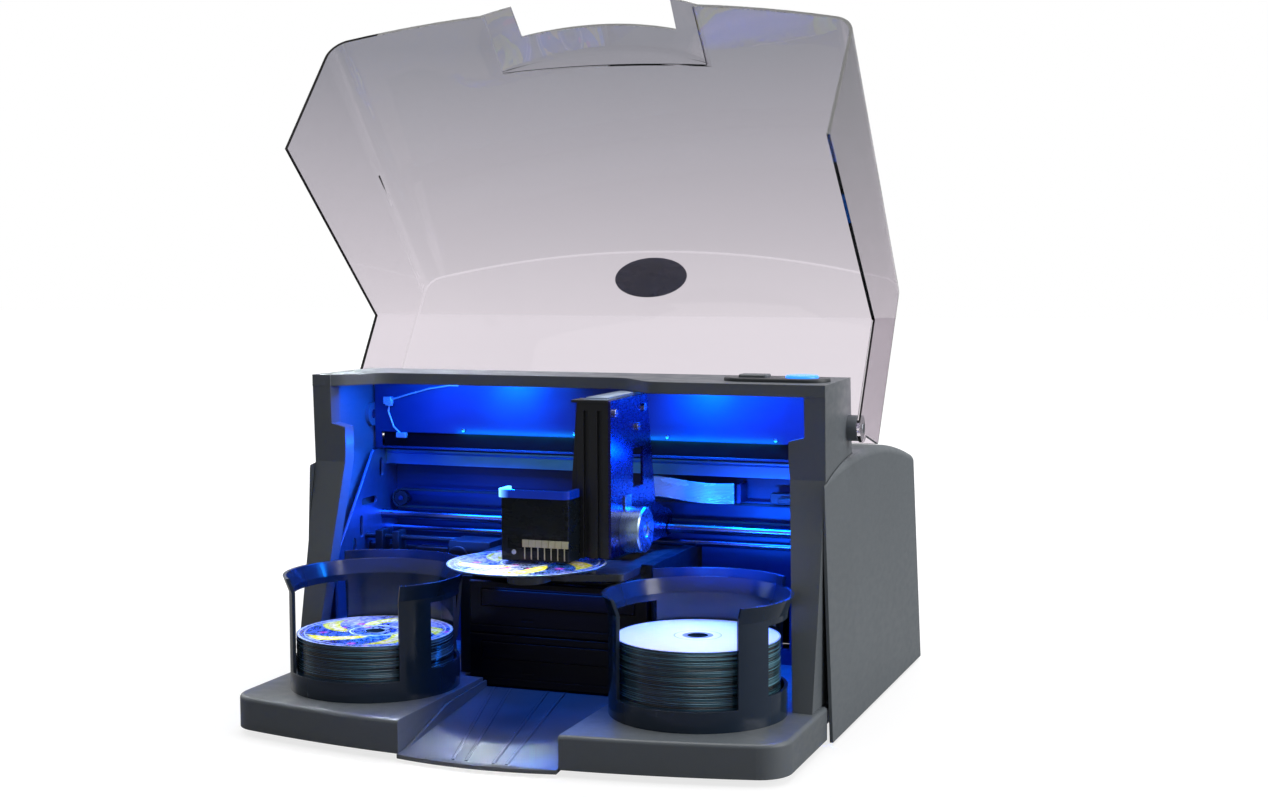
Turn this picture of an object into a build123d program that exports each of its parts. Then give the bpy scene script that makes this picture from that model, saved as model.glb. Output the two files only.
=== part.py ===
from build123d import *
import math
import os

# Disc label printer with a robotic picker: an open-fronted desktop machine that takes blank
# discs from one bin, prints them under a travelling head and drops them in a second bin or
# down a chute.
#
# Everything is drawn in millimetres about one datum: X = 0 on the machine's centre line,
# Y = 0 through the centres of the two disc bins, Z = 0 at the underside of the chute lip.
# write() then moves each piece to the part's own frame, whose origin is under the middle of
# the machine, on the surface that it stands on.

# ------------------------------------------------------------------ driving dimensions
# Discs
DISC_R = 60.0
DISC_HOLE_R = 7.5
DISC_T = 1.2
BLANK_DISCS = 34
PRINTED_DISCS = 22

# Overall body
FOOT_DROP = 2.5
FOOT_R = 9.0
FOOT_PLACES = [(-180, -36), (180, -36), (-180, 330), (180, 330)]
HOUSING_HALF_BOTTOM = 220.5
HOUSING_HALF_TOP = 212.0
HOUSING_FRONT_Y = 45.5
HOUSING_REAR_Y = 361.0
HOUSING_REAR_TOP_Y = 356.0
HOUSING_CREST = (168.0, 203.5)
HOUSING_FRONT_Z = 193.5
HOUSING_REAR_Z = 181.5
SKIN = 2.5

# Front deck and chute
DECK_HALF = 216.5
DECK_TOP = 26.85
DECK_BOTTOM = 2.5
DECK_PLATE = 3.0
DECK_FRONT_Y = -99.5
DECK_FRONT_R = 820.0
DECK_CORNER_R = 25.0
DECK_BACK_Y = 43.5
BAY_FLOOR_HALF = 204.0
BAY_BACK_Y = 168.0
BAY_UPPER_Y = 138.0
BAY_SHELF_Z = 196.0
BAY_SLOT = (197.0, 208.5)
CHUTE_HALF = 62.0
CHUTE_LIP_Y = -107.3
CHUTE_LIP_R = 263.0
CHUTE_BACK_Y = 48.5
CHUTE_BACK_Z = 19.6
CHUTE_LIP_T = 3.0

# Tower: two pillars and the bridge between them
TOWER_HALF = 212.0
TOWER_HALF_BACK = 207.0
TOWER_TOP = 262.0
TOWER_FOOT_Y = 18.0
TOWER_KNEE = (53.0, 192.0)
TOWER_FRONT_Y = 50.0
TOWER_BACK_Y = 143.0
TOWER_BACK_FOOT = (150.0, 206.0)
TOWER_TAIL_Z = 196.0
PILLAR_INNER_FOOT = 197.0
PILLAR_INNER_KNEE = 184.0
PILLAR_INNER_HEAD = 196.0
PILLAR_STEP_Z = 220.0
PILLAR_RETURN = 14.0
BRIDGE_PLATE = 3.0
BRIDGE_FASCIA = 9.0
BRIDGE_RECESS_Y = 88.0

# Lid, drawn closed and then swung open about its hinge
HINGE = (136.2, 223.5)
LID_OPEN = 130.0
LID_HALF = 220.3
LID_WALL = 2.6
LID_FRONT_Y = -107.0
LID_FRONT_R = 826.0
LID_CORNER_R = 20.0
LID_LEAN = 0.165
LID_SLOPE = 0.141
LID_REAR = (115.0, 276.0)
LID_SILL = (39.0, 0.6)
LID_NECK = (50.0, 198.5)
LID_HEEL = (146.0, 212.0)
HOOD_HALF = 92.0
HOOD_OUT = 14.0
HOOD_TOP = 57.0
NOTCH_HALF = 66.5
NOTCH_TOP = 29.0
HINGE_PIN_R = 4.0
BADGE = (-2.0, -38.0)
BADGE_HALF = (33.0, 20.0)

# Bins
BIN_X = 131.3
BIN_R = 62.5
BIN_WALL = 2.5
BIN_FLOOR = 42.0
BIN_RIM = 114.0
BIN_RIM_R = 69.5
BIN_BACK = 121.0
BIN_POST = (-46.0, -22.0)
BIN_BACK_SPAN = (42.0, 138.0)
BIN_WINDOW = (48.0, 98.0)

# Disc drives and their trays
DRIVE_HALF = 73.0
DRIVE_H = 41.2
DRIVE_FACE_Y = 50.0
DRIVE_BACK_Y = 218.0
DRIVE_Z = (20.2, 61.8)
DRIVE_TRAY_HALF = 63.0
CAGE_FLANK = (86.5, 58.4, 104.6)

# Print tray
TRAY_TOP = 119.8
TRAY_T = 5.4
TRAY_HALF = 66.0
TRAY_FRONT = [(24.0, 8.0), (66.0, 21.0)]
TRAY_RIM = 4.0
TRAY_BACK_Y = 166.0
TRAY_DISC = (-1.7, -2.5, 128.0)
HUB_R = 15.0

# Printer frame, carriage and lift
FRAME_X = 199.0
FRAME_T = 2.0
ROD = (142.0, 138.0, 4.0)
BUSH_R = 6.0
TIE_ROD = (163.0, 123.5, 3.0)
BEAM_Y = (150.0, 162.0)
BEAM_Z = (180.0, 194.0)
BELT_Y = (154.0, 160.0)
BELT_Z = 150.0
BELT_PULLEY_R = 6.5
BELT_PULLEY_X = 188.0
BELT_T = 1.4
PLATE_X = (57.0, 59.0)
COLUMN_X = (26.0, 57.0)
COLUMN_Y = (15.0, 31.0)
COLUMN_Z = (131.5, 248.0)
LIFT_Y = 48.0
LIFT_Z = (150.0, 236.0)
LIFT_PULLEY_R = 6.0
MOTOR_R = 17.5
MOTOR_L = 15.5
HEAD_X = (-20.6, 33.9)
HEAD_Y = (-8.0, 14.4)
HEAD_Z = (131.0, 178.0)
SHAFT_R = 2.0
RUN = 0.05

# Sockets and fan on the rear panel, as (x, z)
INLET = (-165.0, 40.0)
USB = (-130.0, 40.0)
FAN = (110.0, 105.0)

# Control pad on the bridge, its two keys, and the lamps under the bridge, as (x, y)
PAD = (165.0, 88.0)
PAD_HALF = (41.0, 17.0)
PAD_T = 2.8
KEY = (147.5, 88.0)
KEY_SIZE = (22.0, 15.0)
BUTTON = (184.5, 88.0)
BUTTON_R = 12.5
WELL_FLOOR = 0.4
KEY_BOTTOM = 1.6
KEY_TOP = 5.0
BUTTON_TOP = 4.8
LED_PLACES = ((-75.0, 126.0), (95.0, 126.0))

# The part's frame: origin under the middle of the machine, on the floor
BODY_MIDDLE_Y = (CHUTE_LIP_Y + HOUSING_REAR_Y) / 2
TO_PART_FRAME = (0.0, -BODY_MIDDLE_Y, FOOT_DROP)


# ------------------------------------------------------------------ drawing helpers
def block(x0, x1, y0, y1, z0, z1):
    return Pos((x0 + x1) / 2, (y0 + y1) / 2, (z0 + z1) / 2) * Box(x1 - x0, y1 - y0, z1 - z0)


def rod_x(r, x0, x1, y, z):
    return Pos((x0 + x1) / 2, y, z) * Rot(0, 90, 0) * Cylinder(r, x1 - x0)


def rod_y(r, y0, y1, x, z):
    return Pos(x, (y0 + y1) / 2, z) * Rot(90, 0, 0) * Cylinder(r, y1 - y0)


def rod_z(r, z0, z1, x, y):
    return Pos(x, y, (z0 + z1) / 2) * Cylinder(r, z1 - z0)


def outline(points, radius=0.0):
    """A closed face through points, all its corners rounded by radius."""
    face = make_face(Polyline(*points, close=True))
    return fillet(face.vertices(), radius) if radius else face


def side_prism(points, x0, x1, radius=0.0):
    """An outline in (y, z), extruded along X."""
    face = Plane.YZ * outline(points, radius)
    return Pos(x0, 0, 0) * extrude(face, amount=x1 - x0)


def front_prism(points, y0, y1, radius=0.0):
    """An outline in (x, z), extruded along Y."""
    face = Plane.XZ * outline(points, radius)
    return Pos(0, y1, 0) * extrude(face, amount=y1 - y0)


def plan_prism(points, z0, z1, radius=0.0):
    """An outline in (x, y), extruded along Z."""
    return Pos(0, 0, z0) * extrude(outline(points, radius), amount=z1 - z0)


def sector(a0, a1, reach=200.0, z0=-50.0, z1=400.0):
    """A pie slice about the Z axis, from angle a0 to a1, under 180 degrees."""
    middle = (a0 + a1) / 2
    points = [(0, 0)]
    for angle in (a0, middle, a1):
        spread = math.cos(math.radians((a1 - a0) / 4))
        points.append(
            (
                reach / spread * math.cos(math.radians(angle)),
                reach / spread * math.sin(math.radians(angle)),
            )
        )
    return plan_prism(points, z0, z1)


def turned(profile):
    """A closed (r, z) outline turned once about the Z axis."""
    return revolve(Plane.XZ * outline(profile), Axis.Z)


def both_sides(shape):
    return shape + mirror(shape, Plane.YZ)


def both_sides_apart(shape):
    """The shape and its mirror image as two separate solids."""
    return Compound(children=[shape, mirror(shape, Plane.YZ)])


def arc_front(half, front_y, radius, back_y):
    """A plan outline with a bowed front edge, straight sides and a straight back."""
    side_y = front_y + radius - math.sqrt(radius**2 - half**2)
    return make_face(
        ThreePointArc((-half, side_y), (0, front_y), (half, side_y))
        + Line((half, side_y), (half, back_y))
        + Line((half, back_y), (-half, back_y))
        + Line((-half, back_y), (-half, side_y))
    )


def front_corners(face):
    return face.vertices().sort_by(Axis.Y)[:2]


def write(name, shape):
    moved = Pos(*TO_PART_FRAME) * shape
    moved.label = name
    export_step(moved, "parts/" + name + ".step")
    return moved


# ------------------------------------------------------------------ base and deck
def base_pan():
    """Steel pan under the whole machine, cut away round the chute."""
    floor_z = DECK_BOTTOM
    pan = block(-205, 205, -48, 350, floor_z, floor_z + 2)
    pan += both_sides(block(203, 205, -40, 350, floor_z, floor_z + 12))
    pan -= block(-66, 66, -60, 50, -10, 40)
    for x in (-150, -110, 110, 150):
        for y in (230, 255, 280):
            pan -= block(x - 14, x + 14, y, y + 5, -10, 40)
    return pan


def rubber_feet():
    feet = []
    for x, y in FOOT_PLACES:
        foot = Pos(x, y, -FOOT_DROP) * extrude(Circle(FOOT_R), amount=FOOT_DROP + DECK_BOTTOM)
        feet.append(chamfer(foot.edges().sort_by(Axis.Z)[0], 1.0))
    return Compound(children=feet)


def front_deck():
    """Moulded deck: two wings under the bins, with the chute's gap between them."""
    face = arc_front(DECK_HALF, DECK_FRONT_Y, DECK_FRONT_R, DECK_BACK_Y)
    face = fillet(front_corners(face), DECK_CORNER_R)
    outer = Pos(0, 0, DECK_BOTTOM) * extrude(face, amount=DECK_TOP - DECK_BOTTOM)
    rim = outer.faces().sort_by(Axis.Z)[-1].edges().sort_by(Axis.Y)[:-1]
    outer = fillet(rim, 3.0)
    inner = offset(face, -SKIN)
    hollow = extrude(inner, amount=DECK_TOP - DECK_PLATE)
    hollow -= block(-CHUTE_HALF - SKIN, CHUTE_HALF + SKIN, -150, 60, -5, 60)
    outer -= hollow
    floor = block(
        -BAY_FLOOR_HALF, BAY_FLOOR_HALF, DECK_BACK_Y - SKIN, BAY_BACK_Y, DECK_TOP - DECK_PLATE, DECK_TOP
    )
    deck = outer + floor
    deck -= block(-CHUTE_HALF, CHUTE_HALF, -150, 60, -5, 60)
    deck -= block(-78, 78, 47, 180, -5, 60)
    deck -= both_sides(block(65, 206, DECK_BACK_Y - SKIN - 1, DECK_BACK_Y + 1, 0, DECK_BOTTOM + 2.3))
    deck -= both_sides(block(202, 206, DECK_BACK_Y - SKIN - 1, DECK_BACK_Y + 1, 0, DECK_BOTTOM + 13))
    deck += block(-CHUTE_HALF - SKIN, CHUTE_HALF + SKIN, DECK_BACK_Y - SKIN, DECK_BACK_Y, DECK_BOTTOM, 12)
    for side in (-1, 1):
        ring = rod_z(BIN_R - 3.5, DECK_TOP, DECK_TOP + 2, side * BIN_X, 0)
        ring -= rod_z(BIN_R - 6.0, DECK_TOP - 1, DECK_TOP + 3, side * BIN_X, 0)
        deck += ring
    return deck


def exit_chute():
    """Sloping slide for finished discs, with a bowed lip, side walls and raised ribs."""
    width = CHUTE_HALF - 0.4
    floor = side_prism(
        [
            (-130, 0),
            (-100, 0),
            (CHUTE_BACK_Y, CHUTE_BACK_Z - CHUTE_LIP_T),
            (CHUTE_BACK_Y, CHUTE_BACK_Z),
            (-100, CHUTE_LIP_T),
            (-130, CHUTE_LIP_T),
        ],
        -width,
        width,
    )
    wall = side_prism(
        [(-88, 1), (CHUTE_BACK_Y, CHUTE_BACK_Z - 2), (CHUTE_BACK_Y, 24.5), (-20, 22), (-88, 4)],
        width - 2.2,
        width,
    )
    plan = extrude(arc_front(width, CHUTE_LIP_Y, CHUTE_LIP_R, CHUTE_BACK_Y), amount=60)
    chute = (floor & plan) + both_sides(wall)
    for back_x, front_x in ((-45.0, -12.0), (0.0, 19.0)):
        for side in (-1, 1):
            rib = plan_prism(
                [
                    (front_x + side * 5 - 1.2, -100),
                    (front_x + side * 5 + 1.2, -100),
                    (back_x + side * 7 + 1.2, CHUTE_BACK_Y - 2),
                    (back_x + side * 7 - 1.2, CHUTE_BACK_Y - 2),
                ],
                0,
                60,
            )
            band = side_prism(
                [
                    (-100, CHUTE_LIP_T - 1),
                    (CHUTE_BACK_Y, CHUTE_BACK_Z - 1),
                    (CHUTE_BACK_Y, CHUTE_BACK_Z + 0.9),
                    (-100, CHUTE_LIP_T + 0.9),
                ],
                -60,
                60,
            )
            chute += rib & band
    return chute


# ------------------------------------------------------------------ tower
def tower_side(set_back=0.0):
    """The tower's outline in (y, z), its front set back by set_back."""
    return [
        (TOWER_FOOT_Y + set_back, DECK_TOP),
        (TOWER_KNEE[0] + set_back, TOWER_KNEE[1]),
        (TOWER_FRONT_Y + set_back, TOWER_TOP),
        (TOWER_BACK_Y, TOWER_TOP),
        TOWER_BACK_FOOT,
        (TOWER_BACK_FOOT[0], TOWER_TAIL_Z),
        (BAY_BACK_Y, TOWER_TAIL_Z),
        (BAY_BACK_Y, DECK_TOP),
    ]


def tower_draft(inset=0.0):
    """The tower's plan block, its flanks drawn in towards the back."""
    front, back = TOWER_HALF - inset, TOWER_HALF_BACK - inset
    right = [(front, 0), (front, TOWER_FRONT_Y + 4), (back, BAY_BACK_Y + 1)]
    left = [(-x, y) for x, y in reversed(right)]
    return plan_prism(right + left, 0, 300)


def pillar_face(inset=0.0):
    """The right pillar's outline in (x, z), drawn in by inset on its three free sides."""
    return [
        (TOWER_HALF - inset, DECK_TOP),
        (PILLAR_INNER_FOOT + inset, DECK_TOP),
        (PILLAR_INNER_KNEE + inset, PILLAR_STEP_Z - 14),
        (PILLAR_INNER_KNEE + inset, PILLAR_STEP_Z),
        (PILLAR_INNER_HEAD + inset, PILLAR_STEP_Z + 3),
        (PILLAR_INNER_HEAD + inset, TOWER_TOP),
        (TOWER_HALF - inset, TOWER_TOP),
    ]


def bridge_outline(set_back=0.0):
    """The bridge's plan, its front edge swept back over the picker's bay."""
    front = TOWER_FRONT_Y + set_back
    recess = BRIDGE_RECESS_Y + set_back
    bends = [(-193, front), (-165, recess), (42, recess), (76, front)]
    points = [(-TOWER_HALF, front), *bends, (TOWER_HALF, front)]
    points += [(TOWER_HALF, TOWER_BACK_Y), (-TOWER_HALF, TOWER_BACK_Y)]
    face = outline(points)
    inner = [v for v in face.vertices() if abs(v.X) < TOWER_HALF - 5]
    return fillet(inner, 22.0)


def tower_shell():
    pillar = front_prism(pillar_face(), 0, BAY_BACK_Y) & side_prism(tower_side(), 150, 230)
    hollow = front_prism(pillar_face(SKIN), 0, BAY_BACK_Y + 5)
    hollow &= side_prism(tower_side(3.0), 150, 230) & tower_draft(SKIN)
    pillar -= hollow
    pillar -= side_prism(tower_side(PILLAR_RETURN), 150, TOWER_HALF) & tower_draft(SKIN)
    shell = both_sides(pillar)
    bridge = Pos(0, 0, TOWER_TOP - BRIDGE_FASCIA) * extrude(bridge_outline(), amount=BRIDGE_FASCIA)
    under = Pos(0, 0, TOWER_TOP - BRIDGE_FASCIA) * extrude(
        bridge_outline(3.0), amount=BRIDGE_FASCIA - BRIDGE_PLATE
    )
    under -= both_sides(block(TOWER_HALF - SKIN, 230, 0, 300, 200, 300))
    shell += bridge - under
    back_wall = side_prism(
        [
            (TOWER_BACK_Y - 3, TOWER_TOP),
            (TOWER_BACK_Y, TOWER_TOP),
            TOWER_BACK_FOOT,
            (TOWER_BACK_FOOT[0] - 3, TOWER_BACK_FOOT[1]),
        ],
        -TOWER_HALF,
        TOWER_HALF,
    )
    shell += back_wall
    shell &= tower_draft()
    shell += both_sides(rod_x(10, 203, LID_HALF - LID_WALL - 0.6, *HINGE))
    shell -= both_sides(rod_x(HINGE_PIN_R, 200, 230, *HINGE))
    return shell


def hinge_pins():
    return both_sides_apart(rod_x(HINGE_PIN_R, 203.3, LID_HALF + 0.2, *HINGE))


# ------------------------------------------------------------------ rear housing
def housing_profile(inset=0.0):
    """The housing's side outline in (y, z) as a face; an inset one runs on past both ends."""
    front = (HOUSING_FRONT_Y, HOUSING_FRONT_Z - inset)
    crest = (HOUSING_CREST[0], HOUSING_CREST[1] - inset)
    rear = (HOUSING_REAR_TOP_Y, HOUSING_REAR_Z - inset)
    tail = (HOUSING_REAR_TOP_Y + 4 * inset, HOUSING_REAR_Z - inset)
    foot = (HOUSING_REAR_Y + 4 * inset, -inset)
    nose = (HOUSING_FRONT_Y - inset, -inset)
    brow = (HOUSING_FRONT_Y - inset, HOUSING_FRONT_Z - inset)
    lines = [ThreePointArc(front, crest, rear)]
    corners = [rear, tail, foot, nose, brow, front] if inset else [rear, foot, (HOUSING_FRONT_Y, 0), front]
    for start, end in zip(corners, corners[1:]):
        lines.append(Line(start, end))
    return make_face(lines)


def housing_block(inset=0.0):
    body = Pos(-250, 0, 0) * extrude(Plane.YZ * housing_profile(inset), amount=500)
    flanks = front_prism(
        [
            (-HOUSING_HALF_BOTTOM + inset, 0),
            (-HOUSING_HALF_TOP + inset, 215),
            (HOUSING_HALF_TOP - inset, 215),
            (HOUSING_HALF_BOTTOM - inset, 0),
        ],
        0,
        400,
    )
    return body & flanks


def rear_housing():
    """One-piece cover: two flanks and the crested top, open below, in front and behind."""
    outer = housing_block()
    top = outer.faces().sort_by(Axis.Z)[-1]
    outer = fillet(top.edges().filter_by(lambda e: abs(e.center().X) > 150), 7.0)
    outer -= housing_block(SKIN)
    outer -= tower_draft(-0.5) & block(-250, 250, 0, TOWER_BACK_FOOT[0] + 0.3, -5, 300)
    outer -= block(-205.5, 205.5, 340, 365, 0.5, 5)
    return outer


def back_panel():
    """Sheet-steel rear panel with vent slots, a fan grille and the two sockets' holes."""
    inner = housing_block(SKIN + 0.2)
    panel = inner & block(-250, 250, 350.5, 352.5, 4.6, 300)
    for row in range(7):
        slot = Plane.XZ * SlotOverall(70, 3.2)
        panel -= Pos(-60, 356, 70 + 11 * row) * extrude(slot, amount=10, both=True)
    for ring in range(4):
        r = 8 + 6 * ring
        groove = rod_y(r + 1.7, 340, 360, 110, 105) - rod_y(r - 1.7, 340, 360, 110, 105)
        for angle in (45, -45):
            bar = block(-40, 40, 339, 361, -2, 2)
            groove -= Pos(110, 0, 105) * Rot(0, angle, 0) * bar
        panel -= groove
    panel -= rod_y(6.1, 340, 360, *INLET)
    panel -= block(USB[0] - 6.3, USB[0] + 6.3, 340, 360, USB[1] - 5.8, USB[1] + 5.8)
    return panel


def power_inlet():
    jack = rod_y(6.0, 336, 354.5, *INLET)
    jack += block(INLET[0] - 8, INLET[0] + 8, 332, 350.4, INLET[1] - 8, INLET[1] + 8)
    jack -= rod_y(3.6, 340, 360, *INLET)
    jack += rod_y(1.1, 339, 353, *INLET)
    return jack


def usb_socket():
    x, z = USB
    socket = block(x - 6.1, x + 6.1, 338, 354, z - 5.6, z + 5.6)
    socket -= block(x - 4.3, x + 4.3, 342, 360, z - 3.9, z + 3.9)
    socket += block(x - 2.6, x + 2.6, 341, 352, z - 1.4, z + 1.4)
    return socket


def fan_frame():
    """Frame of a sixty-millimetre axial fan: square, with a spider and the rotor's pin."""
    x, z = FAN
    frame = block(x - 30, x + 30, 335, 350.4, z - 30, z + 30)
    frame -= rod_y(27.5, 330, 355, x, z)
    spider = rod_y(10, 335, 336.6, x, z)
    for angle in (45, 135):
        spider += Pos(x, 335.8, z) * Rot(0, angle, 0) * Box(58, 1.6, 4)
    return frame + spider + rod_y(SHAFT_R, 335, 345, x, z)


def fan_rotor():
    """Fan hub on its pin, with seven raked blades."""
    x, z = FAN
    rotor = rod_y(11, 337.2, 348, x, z)
    for blade in range(7):
        rake = Pos(x, 342.6, z) * Rot(0, blade * 360 / 7, 0) * Pos(18, 0, 0) * Rot(35, 0, 0)
        rotor += rake * Box(16, 1.6, 8)
    return rotor - rod_y(SHAFT_R + RUN, 330, 345.5, x, z)


def control_board():
    board = block(-190, -60, 215, 320, 14.5, 16.1)
    for x, y, w, d, h in ((-150, 290, 22, 22, 4), (-110, 250, 30, 18, 6), (-90, 300, 14, 14, 9)):
        board += block(x - w / 2, x + w / 2, y - d / 2, y + d / 2, 16.1, 16.1 + h)
    for x in (-185, -65):
        for y in (220, 315):
            board += rod_z(3, DECK_BOTTOM + 2, 14.5, x, y)
    return board


def housing_screws():
    """Six pan-head screws that hold the rear panel to the housing."""
    screws = []
    for x in (-195, 0, 195):
        for z in (20, 160):
            slot = block(x - 2.4, x + 2.4, 353.6, 355, z - 0.5, z + 0.5)
            screws.append(rod_y(3.2, 352.5, 354.3, x, z) - slot)
    return Compound(children=screws)


# ------------------------------------------------------------------ lid
def lid_plan(outward):
    """The lid's plan at the sill as a face, grown by outward from its inner skin."""
    half = LID_HALF - LID_WALL + outward
    front = LID_FRONT_Y + LID_WALL - outward
    face = arc_front(half, front, LID_FRONT_R - LID_WALL + outward, 220)
    return fillet(front_corners(face), LID_CORNER_R - LID_WALL + outward)


def leaning(face, z0, z1):
    """A plan face extruded up from z0 to z1, leaning back as the lid's front does."""
    lean = Vector(0, LID_LEAN, 1)
    start = Pos(0, LID_LEAN * z0, z0) * face
    return extrude(start, amount=(z1 - z0) * lean.length, dir=lean.normalized())


def lid_slope_z(y, drop=0.0):
    return LID_REAR[1] - (LID_REAR[0] - y) * LID_SLOPE - drop


def lid_skin_y(x):
    """Where the lid's bowed front stands at x, at the datum's height."""
    return LID_FRONT_Y + LID_FRONT_R - math.sqrt(LID_FRONT_R**2 - x**2)


def hood_plan(inset, depth):
    """Crescent that stands out of the lid's front by HOOD_OUT and reaches depth into its skin."""
    half = HOOD_HALF - inset
    back = half - 2
    side_y, back_y, middle_y = lid_skin_y(half), lid_skin_y(back) + depth, LID_FRONT_Y + depth
    return make_face(
        ThreePointArc((-half, side_y), (0, LID_FRONT_Y - HOOD_OUT + inset), (half, side_y))
        + Line((half, side_y), (back, back_y))
        + ThreePointArc((back, back_y), (0, middle_y), (-back, back_y))
        + Line((-back, back_y), (-half, side_y))
    )


def opened(shape):
    """Swing a piece drawn on the closed lid to the open rest position."""
    y, z = HINGE
    return Pos(0, y, z) * Rot(-LID_OPEN, 0, 0) * Pos(0, -y, -z) * shape


def lid_shell():
    """Clear hood: bowed leaning front, sloping top, two cheeks, a chute hood and notch."""
    side = [
        (-140, LID_SILL[1]),
        LID_SILL,
        LID_NECK,
        LID_HEEL,
        LID_REAR,
        (-140, lid_slope_z(-140)),
    ]
    cheek = side_prism(side, -LID_HALF, LID_HALF) + rod_x(11, -LID_HALF, LID_HALF, *HINGE)
    outer = leaning(lid_plan(LID_WALL), -5, 300) & cheek
    creases = outer.edges().filter_by(
        lambda e: e.center().Z > 240 and e.center().Y < 40 and e.length > 15
    )
    outer = fillet(creases, 4.0)
    room = side_prism(
        [(-150, -10), (220, -10), (220, lid_slope_z(220, 2.65)), (-150, lid_slope_z(-150, 2.65))],
        -LID_HALF,
        LID_HALF,
    )
    lid = outer - (leaning(lid_plan(0.0), -10, 320) & room)
    lid += leaning(hood_plan(0.0, LID_WALL - 0.6), LID_SILL[1], HOOD_TOP)
    lid -= leaning(hood_plan(LID_WALL, LID_WALL + 1.0), -5, HOOD_TOP - LID_WALL)
    lid -= front_prism(
        [(-NOTCH_HALF - 1.5, -5), (NOTCH_HALF + 1.5, -5), (NOTCH_HALF, NOTCH_TOP), (-NOTCH_HALF, NOTCH_TOP)],
        -160,
        -70,
    )
    lid += both_sides(rod_x(9, LID_HALF - LID_WALL, LID_HALF, *HINGE))
    lid -= both_sides(rod_x(HINGE_PIN_R + RUN, 190, 240, *HINGE))
    return opened(lid)


def lid_badge():
    """Plain oval plate on the top of the lid."""
    x, y = BADGE
    tilt = math.degrees(math.atan(LID_SLOPE))
    oval = extrude(Ellipse(*BADGE_HALF), amount=1.2)
    oval = chamfer(oval.edges().sort_by(Axis.Z)[-1], 0.5)
    return opened(Pos(x, y, lid_slope_z(y) + 0.02) * Rot(tilt, 0, 0) * oval)


# ------------------------------------------------------------------ bins and discs
def disc_bin(side):
    """Open-fronted disc bin: skirt, floor, two front posts, rim, windows and a tall back."""
    wall = turned(
        [
            (BIN_R, DECK_TOP),
            (BIN_R + BIN_WALL, DECK_TOP),
            (BIN_R + BIN_WALL, BIN_WINDOW[1] + 4),
            (BIN_RIM_R, BIN_RIM),
            (BIN_RIM_R - BIN_WALL, BIN_RIM),
            (BIN_R, BIN_WINDOW[1] + 5),
        ]
    )
    mouth = sector(-180 - BIN_POST[0], BIN_POST[0], z0=BIN_FLOOR, z1=BIN_RIM + 5)
    wall -= mouth
    low, high = BIN_WINDOW
    wall -= sector(BIN_POST[1], BIN_BACK_SPAN[0], z0=low, z1=high)
    wall -= sector(BIN_BACK_SPAN[1], 180 - BIN_POST[1], z0=low, z1=high)
    back = turned(
        [
            (BIN_R + 1.5, 58),
            (BIN_R + BIN_WALL + 1.0, 58),
            (BIN_RIM_R + 1.0, 104),
            (BIN_RIM_R + 1.0, BIN_BACK),
            (BIN_RIM_R - 1.5, BIN_BACK),
            (BIN_RIM_R - 1.5, 106),
            (BIN_R + 1.5, 70),
        ]
    )
    wall += back & sector(*BIN_BACK_SPAN)
    floor = rod_z(BIN_R + 0.5, BIN_FLOOR - 3, BIN_FLOOR, 0, 0) - rod_z(DISC_HOLE_R + 4, 0, 60, 0, 0)
    for angle in range(0, 360, 60):
        floor -= Rot(0, 0, angle + 30) * Pos(36, 0, BIN_FLOOR) * Box(26, 9, 12)
    return Pos(side * BIN_X, 0, 0) * (wall + floor)


def disc_stack(count, x):
    """A stack of discs with their rims just parted, on one round hole."""
    points = [(DISC_HOLE_R, BIN_FLOOR)]
    z = BIN_FLOOR
    for _ in range(count // 2):
        points += [(DISC_R, z), (DISC_R, z + 2 * DISC_T - 0.5), (DISC_R - 0.6, z + 2 * DISC_T - 0.4)]
        points.append((DISC_R - 0.6, z + 2 * DISC_T - 0.1))
        z += 2 * DISC_T
    points += [(DISC_R - 0.6, z), (DISC_HOLE_R, z)]
    return Pos(x, 0, 0) * turned(points)


# ------------------------------------------------------------------ drives
def drive_case(z0):
    """Half-height disc drive: steel case, moulded front with a tray slot and a button."""
    case = block(-DRIVE_HALF, DRIVE_HALF, DRIVE_FACE_Y + 5, DRIVE_BACK_Y, z0, z0 + DRIVE_H)
    front = block(-DRIVE_HALF - 1, DRIVE_HALF + 1, DRIVE_FACE_Y, DRIVE_FACE_Y + 5, z0, z0 + DRIVE_H)
    front = chamfer(front.edges().filter_by(Axis.X).sort_by(Axis.Y)[:2], 0.8)
    slot = block(-DRIVE_TRAY_HALF - 1.4, DRIVE_TRAY_HALF + 1.4, 0, DRIVE_BACK_Y - 24, z0 + 21.6, z0 + 35.4)
    led = block(-30, -20, 0, DRIVE_FACE_Y + 0.6, z0 + 11, z0 + 12.6)
    key = rod_y(2.0, 0, DRIVE_FACE_Y + 0.7, 50, z0 + 12)
    grooves = block(-80, 80, 0, DRIVE_FACE_Y + 0.6, z0 + 6, z0 + 6.8)
    return case + front - slot - led - key - grooves


def drive_tray(z0):
    """Drawer with a disc well, a hub window and a front door; drawn shut."""
    door = block(-64.0, 64.0, DRIVE_FACE_Y - 1.0, DRIVE_FACE_Y + 2.5, z0 + 22.2, z0 + 34.8)
    door = fillet(door.edges().filter_by(Axis.Z).sort_by(Axis.Y)[:2], 1.0)
    plate = block(-DRIVE_TRAY_HALF, DRIVE_TRAY_HALF, DRIVE_FACE_Y + 2.4, 183, z0 + 25, z0 + 30)
    plate -= rod_z(60.6, z0 + 28, z0 + 40, 0, 116)
    plate -= rod_z(20, z0, z0 + 60, 0, 116) + block(-20, 20, 116, 176, z0, z0 + 60)
    return door + plate


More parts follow.
